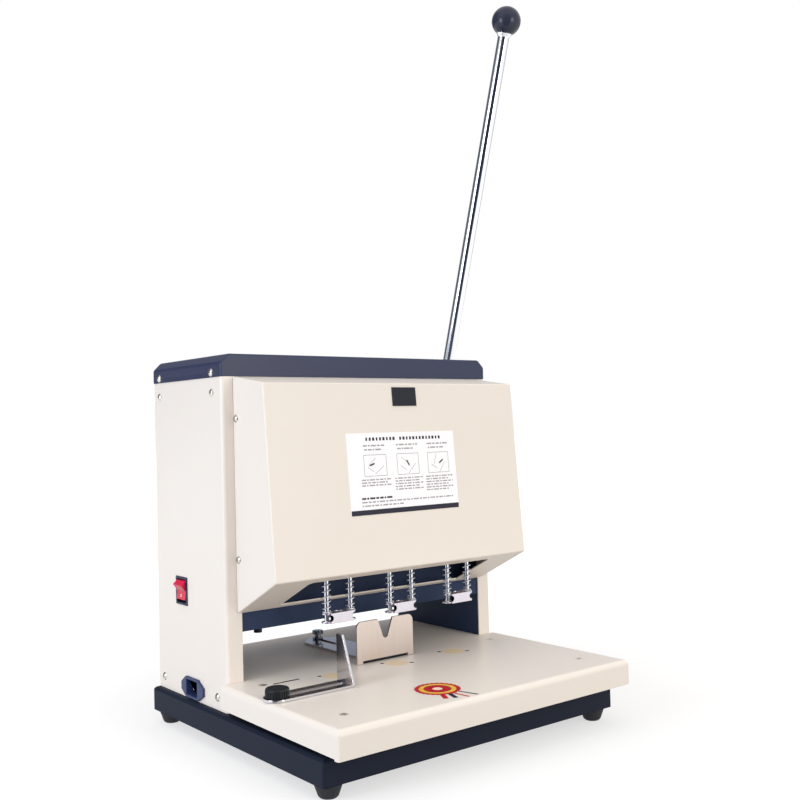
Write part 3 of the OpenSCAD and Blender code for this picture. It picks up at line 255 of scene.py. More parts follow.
paper_tone = add_node(sheet, "ShaderNodeMix", {"Factor": card.outputs[0], 6: FLOOR_TONE, 7: BLACK_CARD},
                      data_type="RGBA")
matt = add_node(sheet, "ShaderNodeBsdfDiffuse", {"Color": paper_tone.outputs[2]})
spread = add_node(sheet, "ShaderNodeMapRange", {"Value": away.outputs["Value"], "From Min": GLOW_NEAR,
                                                "From Max": GLOW_FAR, "To Min": GLOW_SHARE})
glow = add_node(sheet, "ShaderNodeMath", {0: seen, 1: spread.outputs[0]}, operation="MULTIPLY")
glow = add_node(sheet, "ShaderNodeMath", {0: glow.outputs[0], 1: card.outputs[0]}, operation="SUBTRACT",
                use_clamp=True)
white = add_node(sheet, "ShaderNodeEmission", {"Strength": glow.outputs[0]})
both = add_node(sheet, "ShaderNodeAddShader", {0: matt.outputs[0], 1: white.outputs[0]})
add_node(sheet, "ShaderNodeOutputMaterial", {"Surface": both.outputs[0]})
floor.data.materials.append(paper)
print("floor laid")

# %% [markdown]
# ## Finishes
# Each finish starts from what the real surface is. A principled shader carries it, and noise at a real
# size in millimetres breaks up its colour, its gloss and its relief.

# %% Start of a finish
def new_finish(name, inputs):
    """A material with a principled shader, and the object coordinates that its patterns use."""
    material = bpy.data.materials.new(name)
    material.use_nodes = True
    tree = material.node_tree
    shader = add_node(tree, tree.nodes["Principled BSDF"], inputs)
    return material, tree, shader, add_node(tree, "ShaderNodeTexCoord", {}).outputs["Object"]


def mottle(tree, shader, place, colours, patch, grain, relief, roughness):
    """Clouds between two colours, and a finer grain that moves the roughness and the relief."""
    cloud = add_node(tree, "ShaderNodeTexNoise", {"Vector": place, "Scale": per_mm(patch), "Detail": 3.0})
    tint = add_node(tree, "ShaderNodeMix", {"Factor": cloud.outputs["Fac"], 6: to_linear(colours[0]),
                                            7: to_linear(colours[1])}, data_type="RGBA")
    fine = add_node(tree, "ShaderNodeTexNoise", {"Vector": place, "Scale": per_mm(grain), "Detail": 2.0})
    gloss = add_node(tree, "ShaderNodeMapRange", {"Value": fine.outputs["Fac"], "To Min": roughness[0],
                                                  "To Max": roughness[1]})
    bump = add_node(tree, "ShaderNodeBump", {"Height": fine.outputs["Fac"], "Strength": relief,
                                             "Distance": 0.3 * MM})
    add_node(tree, shader, {"Base Color": tint.outputs[2], "Roughness": gloss.outputs[0],
                            "Normal": bump.outputs["Normal"]})
    return fine


# %% [markdown]
# ### Paint
# The covers are powder coated: the powder melts into a satin skin with a fine orange peel, about two
# millimetres from crest to crest. The lid is navy enamel. The base has the same blue, painted darker and
# nearly matt as painted shade, and the inside of the machine a thin, dull coat.

# %% Paints
cream_powder_coat, tree, shader, place = new_finish("cream_powder_coat", {"IOR": 1.5})
# satin skin with a soft orange peel, almost even in colour
mottle(tree, shader, place, ("#EDE4DA", "#E9DFD4"), 120.0, 2.0, 0.06, (0.32, 0.42))

navy_enamel, tree, shader, place = new_finish("navy_enamel", {"IOR": 1.5, "Specular IOR Level": 0.4})
# deep satin blue with a slight ripple, which takes on a grey sheen where it mirrors the room
mottle(tree, shader, place, ("#2D3350", "#292F4A"), 70.0, 1.6, 0.06, (0.34, 0.44))

navy_coat_painted_shade, tree, shader, place = new_finish("navy_coat_painted_shade", {"IOR": 1.5, "Specular IOR Level": 0.12})
# the navy made darker as painted shade, nearly matt, with a fine dry grain
mottle(tree, shader, place, ("#1F2535", "#1A202E"), 50.0, 1.0, 0.1, (0.5, 0.62))

inner_navy_paint, tree, shader, place = new_finish("inner_navy_paint", {"IOR": 1.5,
                                                                        "Specular IOR Level": 0.15})
# thin dull coat over castings and inner plates
mottle(tree, shader, place, ("#303D5A", "#283551"), 40.0, 1.2, 0.1, (0.46, 0.6))
print("paints: 4")

# %% [markdown]
# ### Metal
# Chrome on the lever and the presser rods is nearly a mirror, with faint polishing marks. Screws are
# nickel plated and a touch warmer. The side gauge is ground sheet: the wheel leaves lines along the
# sheet, so its noise is stretched along X. The back gauge is brushed upright, with a broader, duller
# shine. A metal takes its colour from its reflection, so the base colour is high and the default IOR
# stays.

# %% Metals
bright_chrome, tree, shader, place = new_finish("bright_chrome", {"Metallic": 1.0})
# mirror with faint polishing haze
mottle(tree, shader, place, ("#E6E8EC", "#DADDE3"), 30.0, 3.0, 0.015, (0.05, 0.12))

nickel_plate, tree, shader, place = new_finish("nickel_plate", {"Metallic": 1.0})
# bright and slightly warm
mottle(tree, shader, place, ("#DCD8D0", "#CBC6BE"), 12.0, 0.8, 0.03, (0.12, 0.22))

ground_steel, tree, shader, place = new_finish("ground_steel", {"Metallic": 1.0})
# fine lines along X and a soft, stretched reflection
lines = add_node(tree, "ShaderNodeMapping", {"Vector": place, "Scale": (0.04, 1.0, 1.0)})
mottle(tree, shader, lines.outputs["Vector"], ("#DAD7DA", "#CCC9CD"), 2.5, 0.6, 0.02, (0.12, 0.2))

brushed_steel_painted_reflection, tree, shader, place = new_finish("brushed_steel_painted_reflection", {"Metallic": 1.0})
# upright brush marks and a broad shine; the warm pink tint is a painted reflection of the beige table
lines = add_node(tree, "ShaderNodeMapping", {"Vector": place, "Scale": (1.0, 1.0, 0.04)})
mottle(tree, shader, lines.outputs["Vector"], ("#E3D6CE", "#D7CAC2"), 3.0, 0.5, 0.03, (0.28, 0.42))

spring_steel, tree, shader, place = new_finish("spring_steel", {"Metallic": 1.0})
# plated wire, bright but not polished
mottle(tree, shader, place, ("#F2F3F6", "#E6E8ED"), 6.0, 0.5, 0.03, (0.32, 0.44))

satin_nickel, tree, shader, place = new_finish("satin_nickel", {"Metallic": 1.0})
# pale plated bar with a silky face
mottle(tree, shader, place, ("#DCD6DE", "#D0CAD3"), 10.0, 0.8, 0.03, (0.24, 0.34))

zinc_plate, tree, shader, place = new_finish("zinc_plate", {"Metallic": 1.0})
# dull pale plating of a flush screw
mottle(tree, shader, place, ("#F1EBE3", "#E6DFD6"), 6.0, 0.6, 0.05, (0.5, 0.62))

dark_nickel, tree, shader, place = new_finish("dark_nickel", {"Metallic": 1.0})
# grey plating with sharp, dark reflections
mottle(tree, shader, place, ("#8A8F9B", "#7B808C"), 6.0, 0.6, 0.03, (0.14, 0.24))

machined_casting, tree, shader, place = new_finish("machined_casting", {"Metallic": 1.0})
# grey iron with the marks of the cutter
mottle(tree, shader, place, ("#8C9097", "#767B83"), 8.0, 0.7, 0.12, (0.36, 0.52))

turned_brass, tree, shader, place = new_finish("turned_brass", {"Metallic": 1.0})
# warm yellow with a fine turned surface
mottle(tree, shader, place, ("#CDB071", "#BB9C5C"), 6.0, 0.4, 0.06, (0.2, 0.32))

black_oxide_and_painted_shade, tree, shader, place = new_finish("black_oxide_and_painted_shade", {"Metallic": 1.0})
# screws blackened in a hot bath, dark with a soft shine; the same finish paints shade into slots and
# recesses
mottle(tree, shader, place, ("#33343A", "#27282D"), 5.0, 0.5, 0.05, (0.34, 0.46))
print("metals: 11")

# %% [markdown]
# ### Plastic, rubber and paper
# The ball is black phenolic, pressed and buffed to a gloss; the clamping knob is the same stuff, left dull
# for the grip. The switch frame and the inlet are moulded in a fine matt grain. The cutting discs are
# turned nylon, whose tool marks are rings about each disc; wrapping X at the hole pitch puts one set of
# rings on each of the three.

# %% Plastics, rubber and film
phenolic_black, tree, shader, place = new_finish("phenolic_black", {"IOR": 1.6, "Specular IOR Level": 0.2})
# deep blue-black gloss with hardly any grain
mottle(tree, shader, place, ("#343849", "#2D3140"), 8.0, 4.0, 0.01, (0.16, 0.22))

dull_phenolic, tree, shader, place = new_finish("dull_phenolic", {"IOR": 1.6, "Specular IOR Level": 0.25})
# dark and dry, as it comes out of the press
mottle(tree, shader, place, ("#14161D", "#0F1116"), 8.0, 0.8, 0.08, (0.4, 0.52))

moulded_black, tree, shader, place = new_finish("moulded_black", {"IOR": 1.5, "Specular IOR Level": 0.22})
# blue-black with the fine matt grain of an etched mould
mottle(tree, shader, place, ("#1F2943", "#192138"), 10.0, 0.6, 0.12, (0.3, 0.42))

moulded_blue_painted_sheen, tree, shader, place = new_finish("moulded_blue_painted_sheen", {"IOR": 1.5, "Specular IOR Level": 0.25})
# the same grain in a lighter blue, for the mains inlet; the lighter tone is painted sheen, which also lifts
# the shade in its socket
mottle(tree, shader, place, ("#35426A", "#2D395C"), 10.0, 0.6, 0.12, (0.3, 0.42))

moulded_red, tree, shader, place = new_finish("moulded_red", {"IOR": 1.5, "Specular IOR Level": 0.25})
# clear bright red with a smooth face
mottle(tree, shader, place, ("#DC2048", "#D11A40"), 9.0, 2.0, 0.02, (0.22, 0.3))

black_rubber, tree, shader, place = new_finish("black_rubber", {"IOR": 1.5})
# dull and slightly dusty
mottle(tree, shader, place, ("#1B1E26", "#121419"), 6.0, 0.6, 0.2, (0.6, 0.75))

turned_nylon, tree, shader, place = new_finish("turned_nylon", {"IOR": 1.53})
# waxy tan with tool marks in rings
disc_low, disc_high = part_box("cutting_discs")
disc_y = (disc_low.y + disc_high.y) / 2
HALF_PITCH = 40 * MM
RING_MM = 1.3
shifted = add_node(tree, "ShaderNodeVectorMath", {0: place, 1: (0.0, -disc_y, 0.0)}, operation="ADD")
wrapped = add_node(tree, "ShaderNodeVectorMath", {0: shifted.outputs[0], 1: (HALF_PITCH, 1.0, 1.0),
                                                  2: (-HALF_PITCH, -1.0, -1.0)}, operation="WRAP")
rings = add_node(tree, "ShaderNodeTexWave", {"Vector": wrapped.outputs[0], "Distortion": 0.4,
                                             "Scale": 2 * math.pi / 20 * per_mm(RING_MM)},
                 wave_type="RINGS", rings_direction="Z")
tint = add_node(tree, "ShaderNodeMix", {"Factor": rings.outputs["Fac"], 6: to_linear("#E6CBA2"),
                                        7: to_linear("#F0DDBD")}, data_type="RGBA")
bump = add_node(tree, "ShaderNodeBump", {"Height": rings.outputs["Fac"], "Strength": 0.25,
                                         "Distance": 0.1 * MM})
add_node(tree, shader, {"Base Color": tint.outputs[2], "Normal": bump.outputs["Normal"], "Roughness": 0.45})

white_film, tree, shader, place = new_finish("white_film", {"IOR": 1.5})
# smooth printed film
mottle(tree, shader, place, ("#FFFEFF", "#FBFAFC"), 25.0, 3.0, 0.02, (0.32, 0.4))

dark_plate, tree, shader, place = new_finish("dark_plate", {"IOR": 1.5, "Specular IOR Level": 0.2})
# lacquered plate, dark with a soft sheen
mottle(tree, shader, place, ("#23262F", "#1C1F27"), 10.0, 0.8, 0.04, (0.3, 0.4))


def ink(name, first, second):
    """A flat printing ink, a little uneven, with the gloss of the film that it lies on."""
    material, tree, shader, place = new_finish(name, {"IOR": 1.5, "Specular IOR Level": 0.2})
    mottle(tree, shader, place, (first, second), 4.0, 0.8, 0.02, (0.34, 0.44))
    return material


grey_ink = ink("grey_ink", "#ABA4AB", "#9C969E")
dark_ink = ink("dark_ink", "#2E2D3B", "#252432")
red_ink = ink("red_ink", "#C4202C", "#B21A28")
gold_ink = ink("gold_ink", "#F3C452", "#E9B23F")
# a pale ink for the seal's centre, a painted highlight
painted_highlight_ink = ink("painted_highlight_ink", "#F9E6D4", "#F4D9C6")
mark_ink = ink("mark_ink", "#EBC9CC", "#E2BDC1")
print("finishes:", len(bpy.data.materials))

# %% [markdown]
# ## Rounding the sheet metal
# A folded sheet has no sharp corner: each bend has a radius, and each cut edge is broken by the paint.
# These small rounds catch the light and make the difference between a drawing and a machine. The model
# already has the right shapes, so each visible solid is copied, its triangles are merged into whole
# faces, the long outer folds get a wide bevel, and every other edge a narrow one.

# %% Helpers for modelling
FINISH = {
    "cream_paint": cream_powder_coat, "navy_paint": navy_enamel, "inner_navy": inner_navy_paint,
    "steel": ground_steel, "chrome": bright_chrome, "nickel": nickel_plate, "cast": machined_casting,
    "brass": turned_brass, "foot_rubber": black_rubber, "belt_rubber": black_rubber,
    "black_plastic": phenolic_black, "black_moulding": moulded_black, "red_plastic": moulded_red,
    "disc_plastic": turned_nylon, "label_film": white_film, "black_oxide": black_oxide_and_painted_shade,
}
OWN_FINISH = {
    "base_tray": navy_coat_painted_shade, "back_gauge": brushed_steel_painted_reflection, "table_screws": zinc_plate,
    "power_inlet": moulded_blue_painted_sheen, "hood_nameplate": dark_plate, "presser_bar_left": satin_nickel,
    "presser_bar_middle": satin_nickel, "presser_bar_right": satin_nickel,
}
SMOOTH_BELOW = math.radians(32)
SHARP_ABOVE = math.radians(25)
FLAT_WITHIN = math.radians(0.5)
WELD = 0.005 * MM
THIN_RIM = 1 * MM
RIM_SIDES = 8
WIDE_FACE = 2 * MM


def pick_only(*pieces):
    """Selects these objects and nothing else, and makes the last one active."""
    bpy.ops.object.select_all(action="DESELECT")
    for piece in pieces:
        piece.select_set(True)
    bpy.context.view_layer.objects.active = pieces[-1]


def name_new(name):
    """Names the object that was just added or copied."""
    piece = bpy.context.active_object
    piece.name = piece.data.name = name
    return piece


def choose(piece, kind, test):
    """In edit mode, selects the faces, edges or corners that pass a test, and returns how many."""
    bpy.ops.mesh.select_mode(type=kind)
    bpy.ops.mesh.select_all(action="DESELECT")
    shape = bmesh.from_edit_mesh(piece.data)
    shape.normal_update()
    parts = {"FACE": shape.faces, "EDGE": shape.edges, "VERT": shape.verts}[kind]
    chosen = [part for part in parts if test(part)]
    for part in chosen:
        part.select_set(True)
    shape.select_flush_mode()
    bmesh.update_edit_mesh(piece.data)
    return len(chosen)


def apply_modifier(piece, kind, **settings):
    """Adds a modifier with its settings and applies it."""
    modifier = piece.modifiers.new(kind.lower(), kind)
    for name, value in settings.items():
        setattr(modifier, name, value)
    pick_only(piece)
    bpy.ops.object.modifier_apply(modifier=modifier.name)


def is_sharp(edge):
    """True for a clear corner, except on the thin rim of an open sheet, where two rounds would cross."""
    if len(edge.link_faces) != 2 or edge.calc_face_angle() < SHARP_ABOVE:
        return False
    return not any(len(face.verts) > RIM_SIDES and face.calc_area() / face.calc_perimeter() < THIN_RIM
                   for face in edge.link_faces)


def break_edges(piece, width, segments=2):
    """Rounds the sharp edges of a piece by a width in millimetres."""
    pick_only(piece)
    bpy.ops.object.mode_set(mode="EDIT")
    if choose(piece, "EDGE", is_sharp):
        bpy.ops.mesh.bevel(offset=width * MM, segments=segments, affect="EDGES", clamp_overlap=False,
                           loop_slide=False)
    bpy.ops.object.mode_set(mode="OBJECT")


def settle(piece, slot, body, *replaced, finish=None):
    """Smooths a piece, with its wide faces flat, gives it a finish and a slot, and ties it to a body."""
    pick_only(piece)
    bpy.ops.object.transform_apply(location=True, rotation=True, scale=True)
    bpy.ops.object.shade_smooth_by_angle(angle=SMOOTH_BELOW)
    apply_modifier(piece, "WEIGHTED_NORMAL", keep_sharp=True)
    if len(piece.data.materials) < 2:
        piece.data.materials.clear()
        piece.data.materials.append(finish or FINISH[slot])
    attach(piece, body)
    if replaced:
        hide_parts(*replaced)
    return piece


def is_fold(edge):
    """True for an outer edge between two wide faces, which is where the sheet was bent."""
    if len(edge.link_faces) != 2 or not edge.is_convex or edge.calc_face_angle() < SMOOTH_BELOW:
        return False
    return all(face.calc_area() / face.calc_perimeter() > WIDE_FACE for face in edge.link_faces)


def rounded(node_name, slot, edge, fold=0.0):
    """Copies a solid as whole faces, rounds its folds and edges, in millimetres, and stands for it."""
    pick_only(nodes[node_name])
    bpy.ops.object.duplicate()
    piece = name_new(node_name + "_skin")
    del piece["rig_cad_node"]
    bpy.ops.object.mode_set(mode="EDIT")
    bpy.ops.mesh.select_all(action="SELECT")
    bpy.ops.mesh.remove_doubles(threshold=WELD)
    bpy.ops.mesh.dissolve_limited(angle_limit=FLAT_WITHIN)
    if fold and choose(piece, "EDGE", is_fold):
        bpy.ops.mesh.bevel(offset=fold * MM, segments=5, affect="EDGES", loop_slide=False)
    bpy.ops.object.mode_set(mode="OBJECT")
    break_edges(piece, edge)
    return settle(piece, slot, nodes[node_name]["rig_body"], node_name, finish=OWN_FINISH.get(node_name))


# %% Covers, hood, table and base
# for each sheet: its slot, the width of its broken edges and the radius of its bends, in millimetres
SHEETS = [
    ("front_hood", "cream_paint", 0.35, 1.4), ("side_cover_left", "cream_paint", 0.3, 0.0),
    ("side_cover_right", "cream_paint", 0.3, 0.0), ("rear_panel", "cream_paint", 0.3, 0.0),
    ("table_plate", "cream_paint", 0.2, 0.0), ("top_cover", "navy_paint", 0.35, 2.0),
    ("base_tray", "navy_paint", 0.4, 1.2), ("lower_beam", "inner_navy", 0.5, 0.0),
    ("side_plate_left", "inner_navy", 0.4, 0.0), ("side_plate_right", "inner_navy", 0.4, 0.0),
]
for node_name, slot, edge, fold in SHEETS:
    piece = rounded(node_name, slot, edge, fold)
    print(piece.name, len(piece.data.polygons), "faces")

# %% Gauges, screws and fittings
FITTINGS = [
    ("side_gauge", "steel", 0.3), ("back_gauge", "steel", 0.3), ("cover_screws", "nickel", 0.12),
    ("top_cover_screws", "nickel", 0.12), ("table_screws", "nickel", 0.12), ("lever_rod", "chrome", 0.3),
    ("lever_hub", "black_moulding", 1.2), ("switch_bezel", "black_moulding", 0.5),
    ("power_inlet", "black_moulding", 0.6), ("inlet_pins", "chrome", 0.3),
    ("column_bolts", "black_oxide", 0.4), ("carriage_plate", "inner_navy", 0.5),
    ("cutting_discs", "disc_plastic", 0.3), ("disc_screws", "black_oxide", 0.1),
    ("switch_rocker", "red_plastic", 0.6),
]
UNITS = ("left", "middle", "right")
for unit in UNITS:
    FITTINGS += [("spindle_" + unit, "steel", 0.4), ("drill_" + unit, "chrome", 0.1),
                 ("presser_bar_" + unit, "chrome", 0.25), ("presser_rods_" + unit, "chrome", 0.3)]
for node_name, slot, edge in FITTINGS:
    rounded(node_name, slot, edge)
print("fittings:", len(FITTINGS))

# %% [markdown]
# ## Second finishes and painted shade
# Some faces are painted dark as painted shade: the walls of the short slot at the table's
# left rear, the cross slots of the flush screws, and the recess between the back gauge's feet. The arm of
# that gauge is ground, while its front is brushed. Faces like these are chosen by place.

# %% Second finishes and painted shade
table_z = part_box("table_screws")[1].z
gauge_low, gauge_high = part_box("back_gauge")
SLOT_X, SLOT_Y = -129 * MM, 23.5 * MM
SLOT_REACH_X, SLOT_REACH_Y = 16 * MM, 2 * MM
CROSS_DEPTH = 0.15 * MM
GAUGE_FRONT = 6 * MM
RECESS_H, GAUGE_FOOT = 3 * MM, 8 * MM


def refinish(node_name, test, finish=black_oxide_and_painted_shade):
    """Gives the faces of a skin that pass a test another finish."""
    skin = bpy.data.objects[node_name + "_skin"]
    skin.data.materials.append(finish)
    pick_only(skin)
    bpy.ops.object.mode_set(mode="EDIT")
    print(node_name, finish.name, choose(skin, "FACE", lambda face: test(face, face.calc_center_median())))
    skin.active_material_index = len(skin.data.materials) - 1
    bpy.ops.object.material_slot_assign()
    bpy.ops.object.mode_set(mode="OBJECT")


# painted shade: the walls of the table's slot are painted dark
refinish("table_plate", lambda face, at: abs(at.x - SLOT_X) < SLOT_REACH_X
         and abs(at.y - SLOT_Y) < SLOT_REACH_Y and face.normal.z < 0.9)
# painted shade: the cross slots of the flush screws are painted dark
refinish("table_screws", lambda face, at: at.z < table_z - CROSS_DEPTH)
# painted shade: the recess between the back gauge's feet is painted dark
refinish("back_gauge", lambda face, at: at.z < gauge_low.z + RECESS_H and at.y < gauge_low.y + GAUGE_FRONT
         and abs(at.x) < gauge_high.x - GAUGE_FOOT)
refinish("back_gauge", lambda face, at: at.y > gauge_low.y + GAUGE_FRONT, ground_steel)

# %% [markdown]
# ## Presser springs
# Each presser has two compression springs: a wire wound as a helix, with a closed ring at either end
# that stands flat. A curve could be bent into a helix, but the Screw modifier does the same from one
# small circle, in one step, and its turns are exact. One spring is made and copied to all six rods.

# %% Wind one spring
spring_low, spring_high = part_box("presser_springs_middle")
WIRE_R = 0.5 * MM
COIL_R = 4.3 * MM
TURNS = 13
WIRE_SIDES = 10
STEPS_PER_TURN = 32
helix_z0 = spring_low.z + 2 * WIRE_R
helix_rise = spring_high.z - spring_low.z - 4 * WIRE_R


def wind_spring(name):
    """A helix with closed end rings about the Z axis, at the height of the CAD springs."""
    bpy.ops.object.select_all(action="DESELECT")
    bpy.ops.mesh.primitive_circle_add(vertices=WIRE_SIDES, radius=WIRE_R, location=(COIL_R, 0, helix_z0),
                                      rotation=(math.pi / 2, 0, 0))
    coil = name_new(name)
    bpy.ops.object.transform_apply(location=True, rotation=True, scale=True)
    apply_modifier(coil, "SCREW", axis="Z", angle=2 * math.pi, iterations=TURNS,
                   screw_offset=helix_rise / TURNS, steps=STEPS_PER_TURN, render_steps=STEPS_PER_TURN)
    bpy.ops.object.mode_set(mode="EDIT")
    bpy.ops.mesh.select_all(action="SELECT")
    bpy.ops.mesh.remove_doubles(threshold=0.001 * MM)
    bpy.ops.mesh.fill_holes(sides=0)
    for z in (spring_low.z + WIRE_R, spring_high.z - WIRE_R):
        bpy.ops.mesh.primitive_torus_add(major_radius=COIL_R, minor_radius=WIRE_R, location=(0, 0, z),
                                         major_segments=48, minor_segments=WIRE_SIDES)
    bpy.ops.mesh.select_all(action="SELECT")
    bpy.ops.mesh.normals_make_consistent(inside=False)
    bpy.ops.object.mode_set(mode="OBJECT")
    return coil


model_spring = wind_spring("presser_spring_model")
print("one spring:", len(model_spring.data.polygons), "faces")


def copy_to(piece, offset):
    """A copy with its own mesh, moved by an offset in metres."""
    pick_only(piece)
    bpy.ops.object.duplicate()
    bpy.ops.transform.translate(value=offset)
    bpy.ops.object.transform_apply(location=True, rotation=True, scale=True)
    return bpy.context.active_object


for unit in UNITS:
    node_name = "presser_springs_" + unit
    low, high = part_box(node_name)
    reach = COIL_R + WIRE_R
    pair = [copy_to(model_spring, (x, 0, 0)) for x in (low.x + reach, high.x - reach)]
    pick_only(*pair)
    bpy.ops.object.join()
    springs = settle(name_new("wound_springs_" + unit), "steel", "carriage", node_name, finish=spring_steel)
    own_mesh(springs)
bpy.data.objects.remove(model_spring)
print("springs on six rods")

# %% [markdown]
# ## Ball knob
# The lever ends in a pressed phenolic ball with a flat foot, where the rod's flare meets it. A sphere is
# cut by a plane across the lever's line, and the cut edge is broken like that of the real ball.

# %% Ball knob
shaft_low, shaft_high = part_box("lever_shaft")
LEVER_X = 195 * MM
LEVER_LEN = 549 * MM
BALL_R = 17.5 * MM
FOOT_SHARE = 0.82
lean = math.radians(17)
pivot = Vector((LEVER_X, (shaft_low.y + shaft_high.y) / 2, (shaft_low.z + shaft_high.z) / 2))
lever_line = Vector((0.0, -math.sin(lean), math.cos(lean)))
ball_centre = pivot + LEVER_LEN * lever_line
ball_foot = pivot + (LEVER_LEN - FOOT_SHARE * BALL_R) * lever_line

bpy.ops.object.select_all(action="DESELECT")
bpy.ops.mesh.primitive_uv_sphere_add(segments=64, ring_count=40, radius=BALL_R, location=ball_centre,
                                     rotation=(lean, 0, 0))
ball = name_new("lever_ball")
bpy.ops.object.transform_apply(location=True, rotation=True, scale=True)
bpy.ops.object.mode_set(mode="EDIT")
bpy.ops.mesh.select_all(action="SELECT")
bpy.ops.mesh.bisect(plane_co=ball_foot, plane_no=lever_line, clear_inner=True, use_fill=True)
bpy.ops.object.mode_set(mode="OBJECT")
break_edges(ball, 0.8, segments=3)
settle(ball, "black_plastic", "lever", "lever_knob")
print("ball centre at", [round(x, 4) for x in ball_centre])

# %% [markdown]
# ## Round pieces
# The feet, the knob and the thumb screw are all round about an upright axis. Each starts as a cylinder,
# and a few short functions then do what a lathe or a mould does: they widen, draw up and round over.

# %% Helpers for round pieces
NEAR = 0.1 * MM


def add_cylinder(sides, radius, spot, low, high):
    """Adds an upright cylinder at a spot, between two heights, in metres."""
    bpy.ops.mesh.primitive_cylinder_add(vertices=sides, radius=radius, depth=high - low,
                                        location=(*spot, (low + high) / 2))


def start_round(name, sides, radius, spot, low, high):
    """A new piece in edit mode that starts as an upright cylinder."""
    bpy.ops.object.select_all(action="DESELECT")
    add_cylinder(sides, radius, spot, low, high)
    piece = name_new(name)
    bpy.ops.object.transform_apply(location=True, rotation=True, scale=True)
    bpy.ops.object.mode_set(mode="EDIT")
    return piece


def widen(ratio, spot):
    """Scales what is selected about an upright axis at a spot."""
    bpy.ops.transform.resize(value=(ratio, ratio, 1.0), center_override=(*spot, 0))


def pull_up(rise):
    """Extrudes the selected faces upwards, in metres."""
    bpy.ops.mesh.extrude_region_move(TRANSFORM_OT_translate={"value": (0, 0, rise)})


def round_over(radius, segments):
    """Rounds the selected edges, in metres."""
    bpy.ops.mesh.bevel(offset=radius, segments=segments, affect="EDGES", loop_slide=False)


# %% [markdown]
# ## Rubber feet
# Four cone-shaped cups of black rubber stand under the base, each held by a screw through a hollow in
# its sole. One is modelled from a cylinder: its foot is drawn in and rounded, and its sole inset and sunk.

# %% Rubber feet
feet_low, feet_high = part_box("rubber_feet")
FOOT_R, SOLE_R = 13.5 * MM, 8.5 * MM
SOLE_ROUND, SOLE_RIM, HOLLOW = 3.2 * MM, 2.2 * MM, 5 * MM
foot_place = (feet_low.x + FOOT_R, feet_low.y + FOOT_R)
foot = start_round("rubber_cups", 48, FOOT_R, foot_place, 0.0, feet_high.z - feet_low.z)
choose(foot, "FACE", lambda face: face.normal.z < -0.9)
widen(SOLE_R / FOOT_R, foot_place)
choose(foot, "EDGE", lambda edge: all(v.co.z < NEAR for v in edge.verts))
round_over(SOLE_ROUND, 6)
choose(foot, "FACE", lambda face: face.normal.z < -0.99)
bpy.ops.mesh.inset(thickness=SOLE_RIM)
pull_up(HOLLOW)
bpy.ops.object.mode_set(mode="OBJECT")
break_edges(foot, 0.4)
step_x = feet_high.x - feet_low.x - 2 * FOOT_R
step_y = feet_high.y - feet_low.y - 2 * FOOT_R
copies = [copy_to(foot, offset) for offset in ((step_x, 0, 0), (0, step_y, 0), (step_x, step_y, 0))]
pick_only(*copies, foot)
bpy.ops.object.join()
settle(foot, "foot_rubber", "frame", "rubber_feet")
print("four feet")

# %% [markdown]
# ## Clamping knob
# The side gauge is held by a black knob with a fluted rim for the fingers. Its rounded top comes from a
# wide bevel. Then every other side face is inset on its own and pushed in, which cuts the flutes. The
# screw below it goes through the gauge's slot into the table.

# %% Clamping knob
knob_low, knob_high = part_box("side_gauge_knob")
knob_spot = ((knob_low.x + knob_high.x) / 2, (knob_low.y + knob_high.y) / 2)
KNOB_R, KNOB_H, KNOB_ROUND = 11.5 * MM, 8.6 * MM, 2.2 * MM
FLUTES, FLUTE_RIM, FLUTE_DEPTH = 28, 0.15 * MM, 0.7 * MM
SCREW_R, SCREW_SIDES = 2.8 * MM, 24


def is_flute(face, centre, count):
    """True for every other of the upright side faces round a centre."""
    middle = face.calc_center_median()
    turn = math.atan2(middle.y - centre[1], middle.x - centre[0]) / (2 * math.pi) * 2 * count
    return abs(face.normal.z) < 0.05 and face.calc_area() > 1e-6 and int(math.floor(turn)) % 2 == 0


knob = start_round("clamping_knob", 2 * FLUTES, KNOB_R, knob_spot, knob_high.z - KNOB_H, knob_high.z)
choose(knob, "EDGE", lambda edge: all(v.co.z > knob_high.z - NEAR for v in edge.verts))
round_over(KNOB_ROUND, 6)
print("flutes:", choose(knob, "FACE", lambda face: is_flute(face, knob_spot, FLUTES)))
bpy.ops.mesh.inset(thickness=FLUTE_RIM, depth=-FLUTE_DEPTH, use_individual=True)
add_cylinder(SCREW_SIDES, SCREW_R, knob_spot, knob_low.z, knob_high.z - KNOB_H / 2)
bpy.ops.object.mode_set(mode="OBJECT")
break_edges(knob, 0.15)
settle(knob, "black_plastic", "side_clamp", "side_gauge_knob", finish=dull_phenolic)

# %% [markdown]
# ## Thumb screw
# The back gauge is held by a plated thumb screw: a round foot, a thin neck and a flat knurled head. It
# grows from one cylinder, as on a lathe: the top is inset for the neck, pulled up, and widened again
# for the head. The knurl is made like the knob's flutes, only finer.

# %% Thumb screw
thumb_low, thumb_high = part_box("back_gauge_screw")
thumb_spot = ((thumb_low.x + thumb_high.x) / 2, (thumb_low.y + thumb_high.y) / 2)
DISC_R, NECK_R, HEAD_R = 6 * MM, 3.5 * MM, 6.5 * MM
DISC_H, NECK_H, HEAD_H = 2 * MM, 4 * MM, 4 * MM
HEAD_ROUND = 0.8 * MM
KNURLS, KNURL_RIM, KNURL_DEPTH = 30, 0.08 * MM, 0.25 * MM
thumb_z = thumb_high.z - DISC_H - NECK_H - HEAD_H
head_z = thumb_high.z - HEAD_H
thumb = start_round("thumb_screw", 2 * KNURLS, DISC_R, thumb_spot, thumb_z, thumb_z + DISC_H)
choose(thumb, "FACE", lambda face: face.normal.z > 0.99)
bpy.ops.mesh.inset(thickness=DISC_R - NECK_R)
pull_up(NECK_H)
pull_up(0.0)
widen(HEAD_R / NECK_R, thumb_spot)
pull_up(HEAD_H)
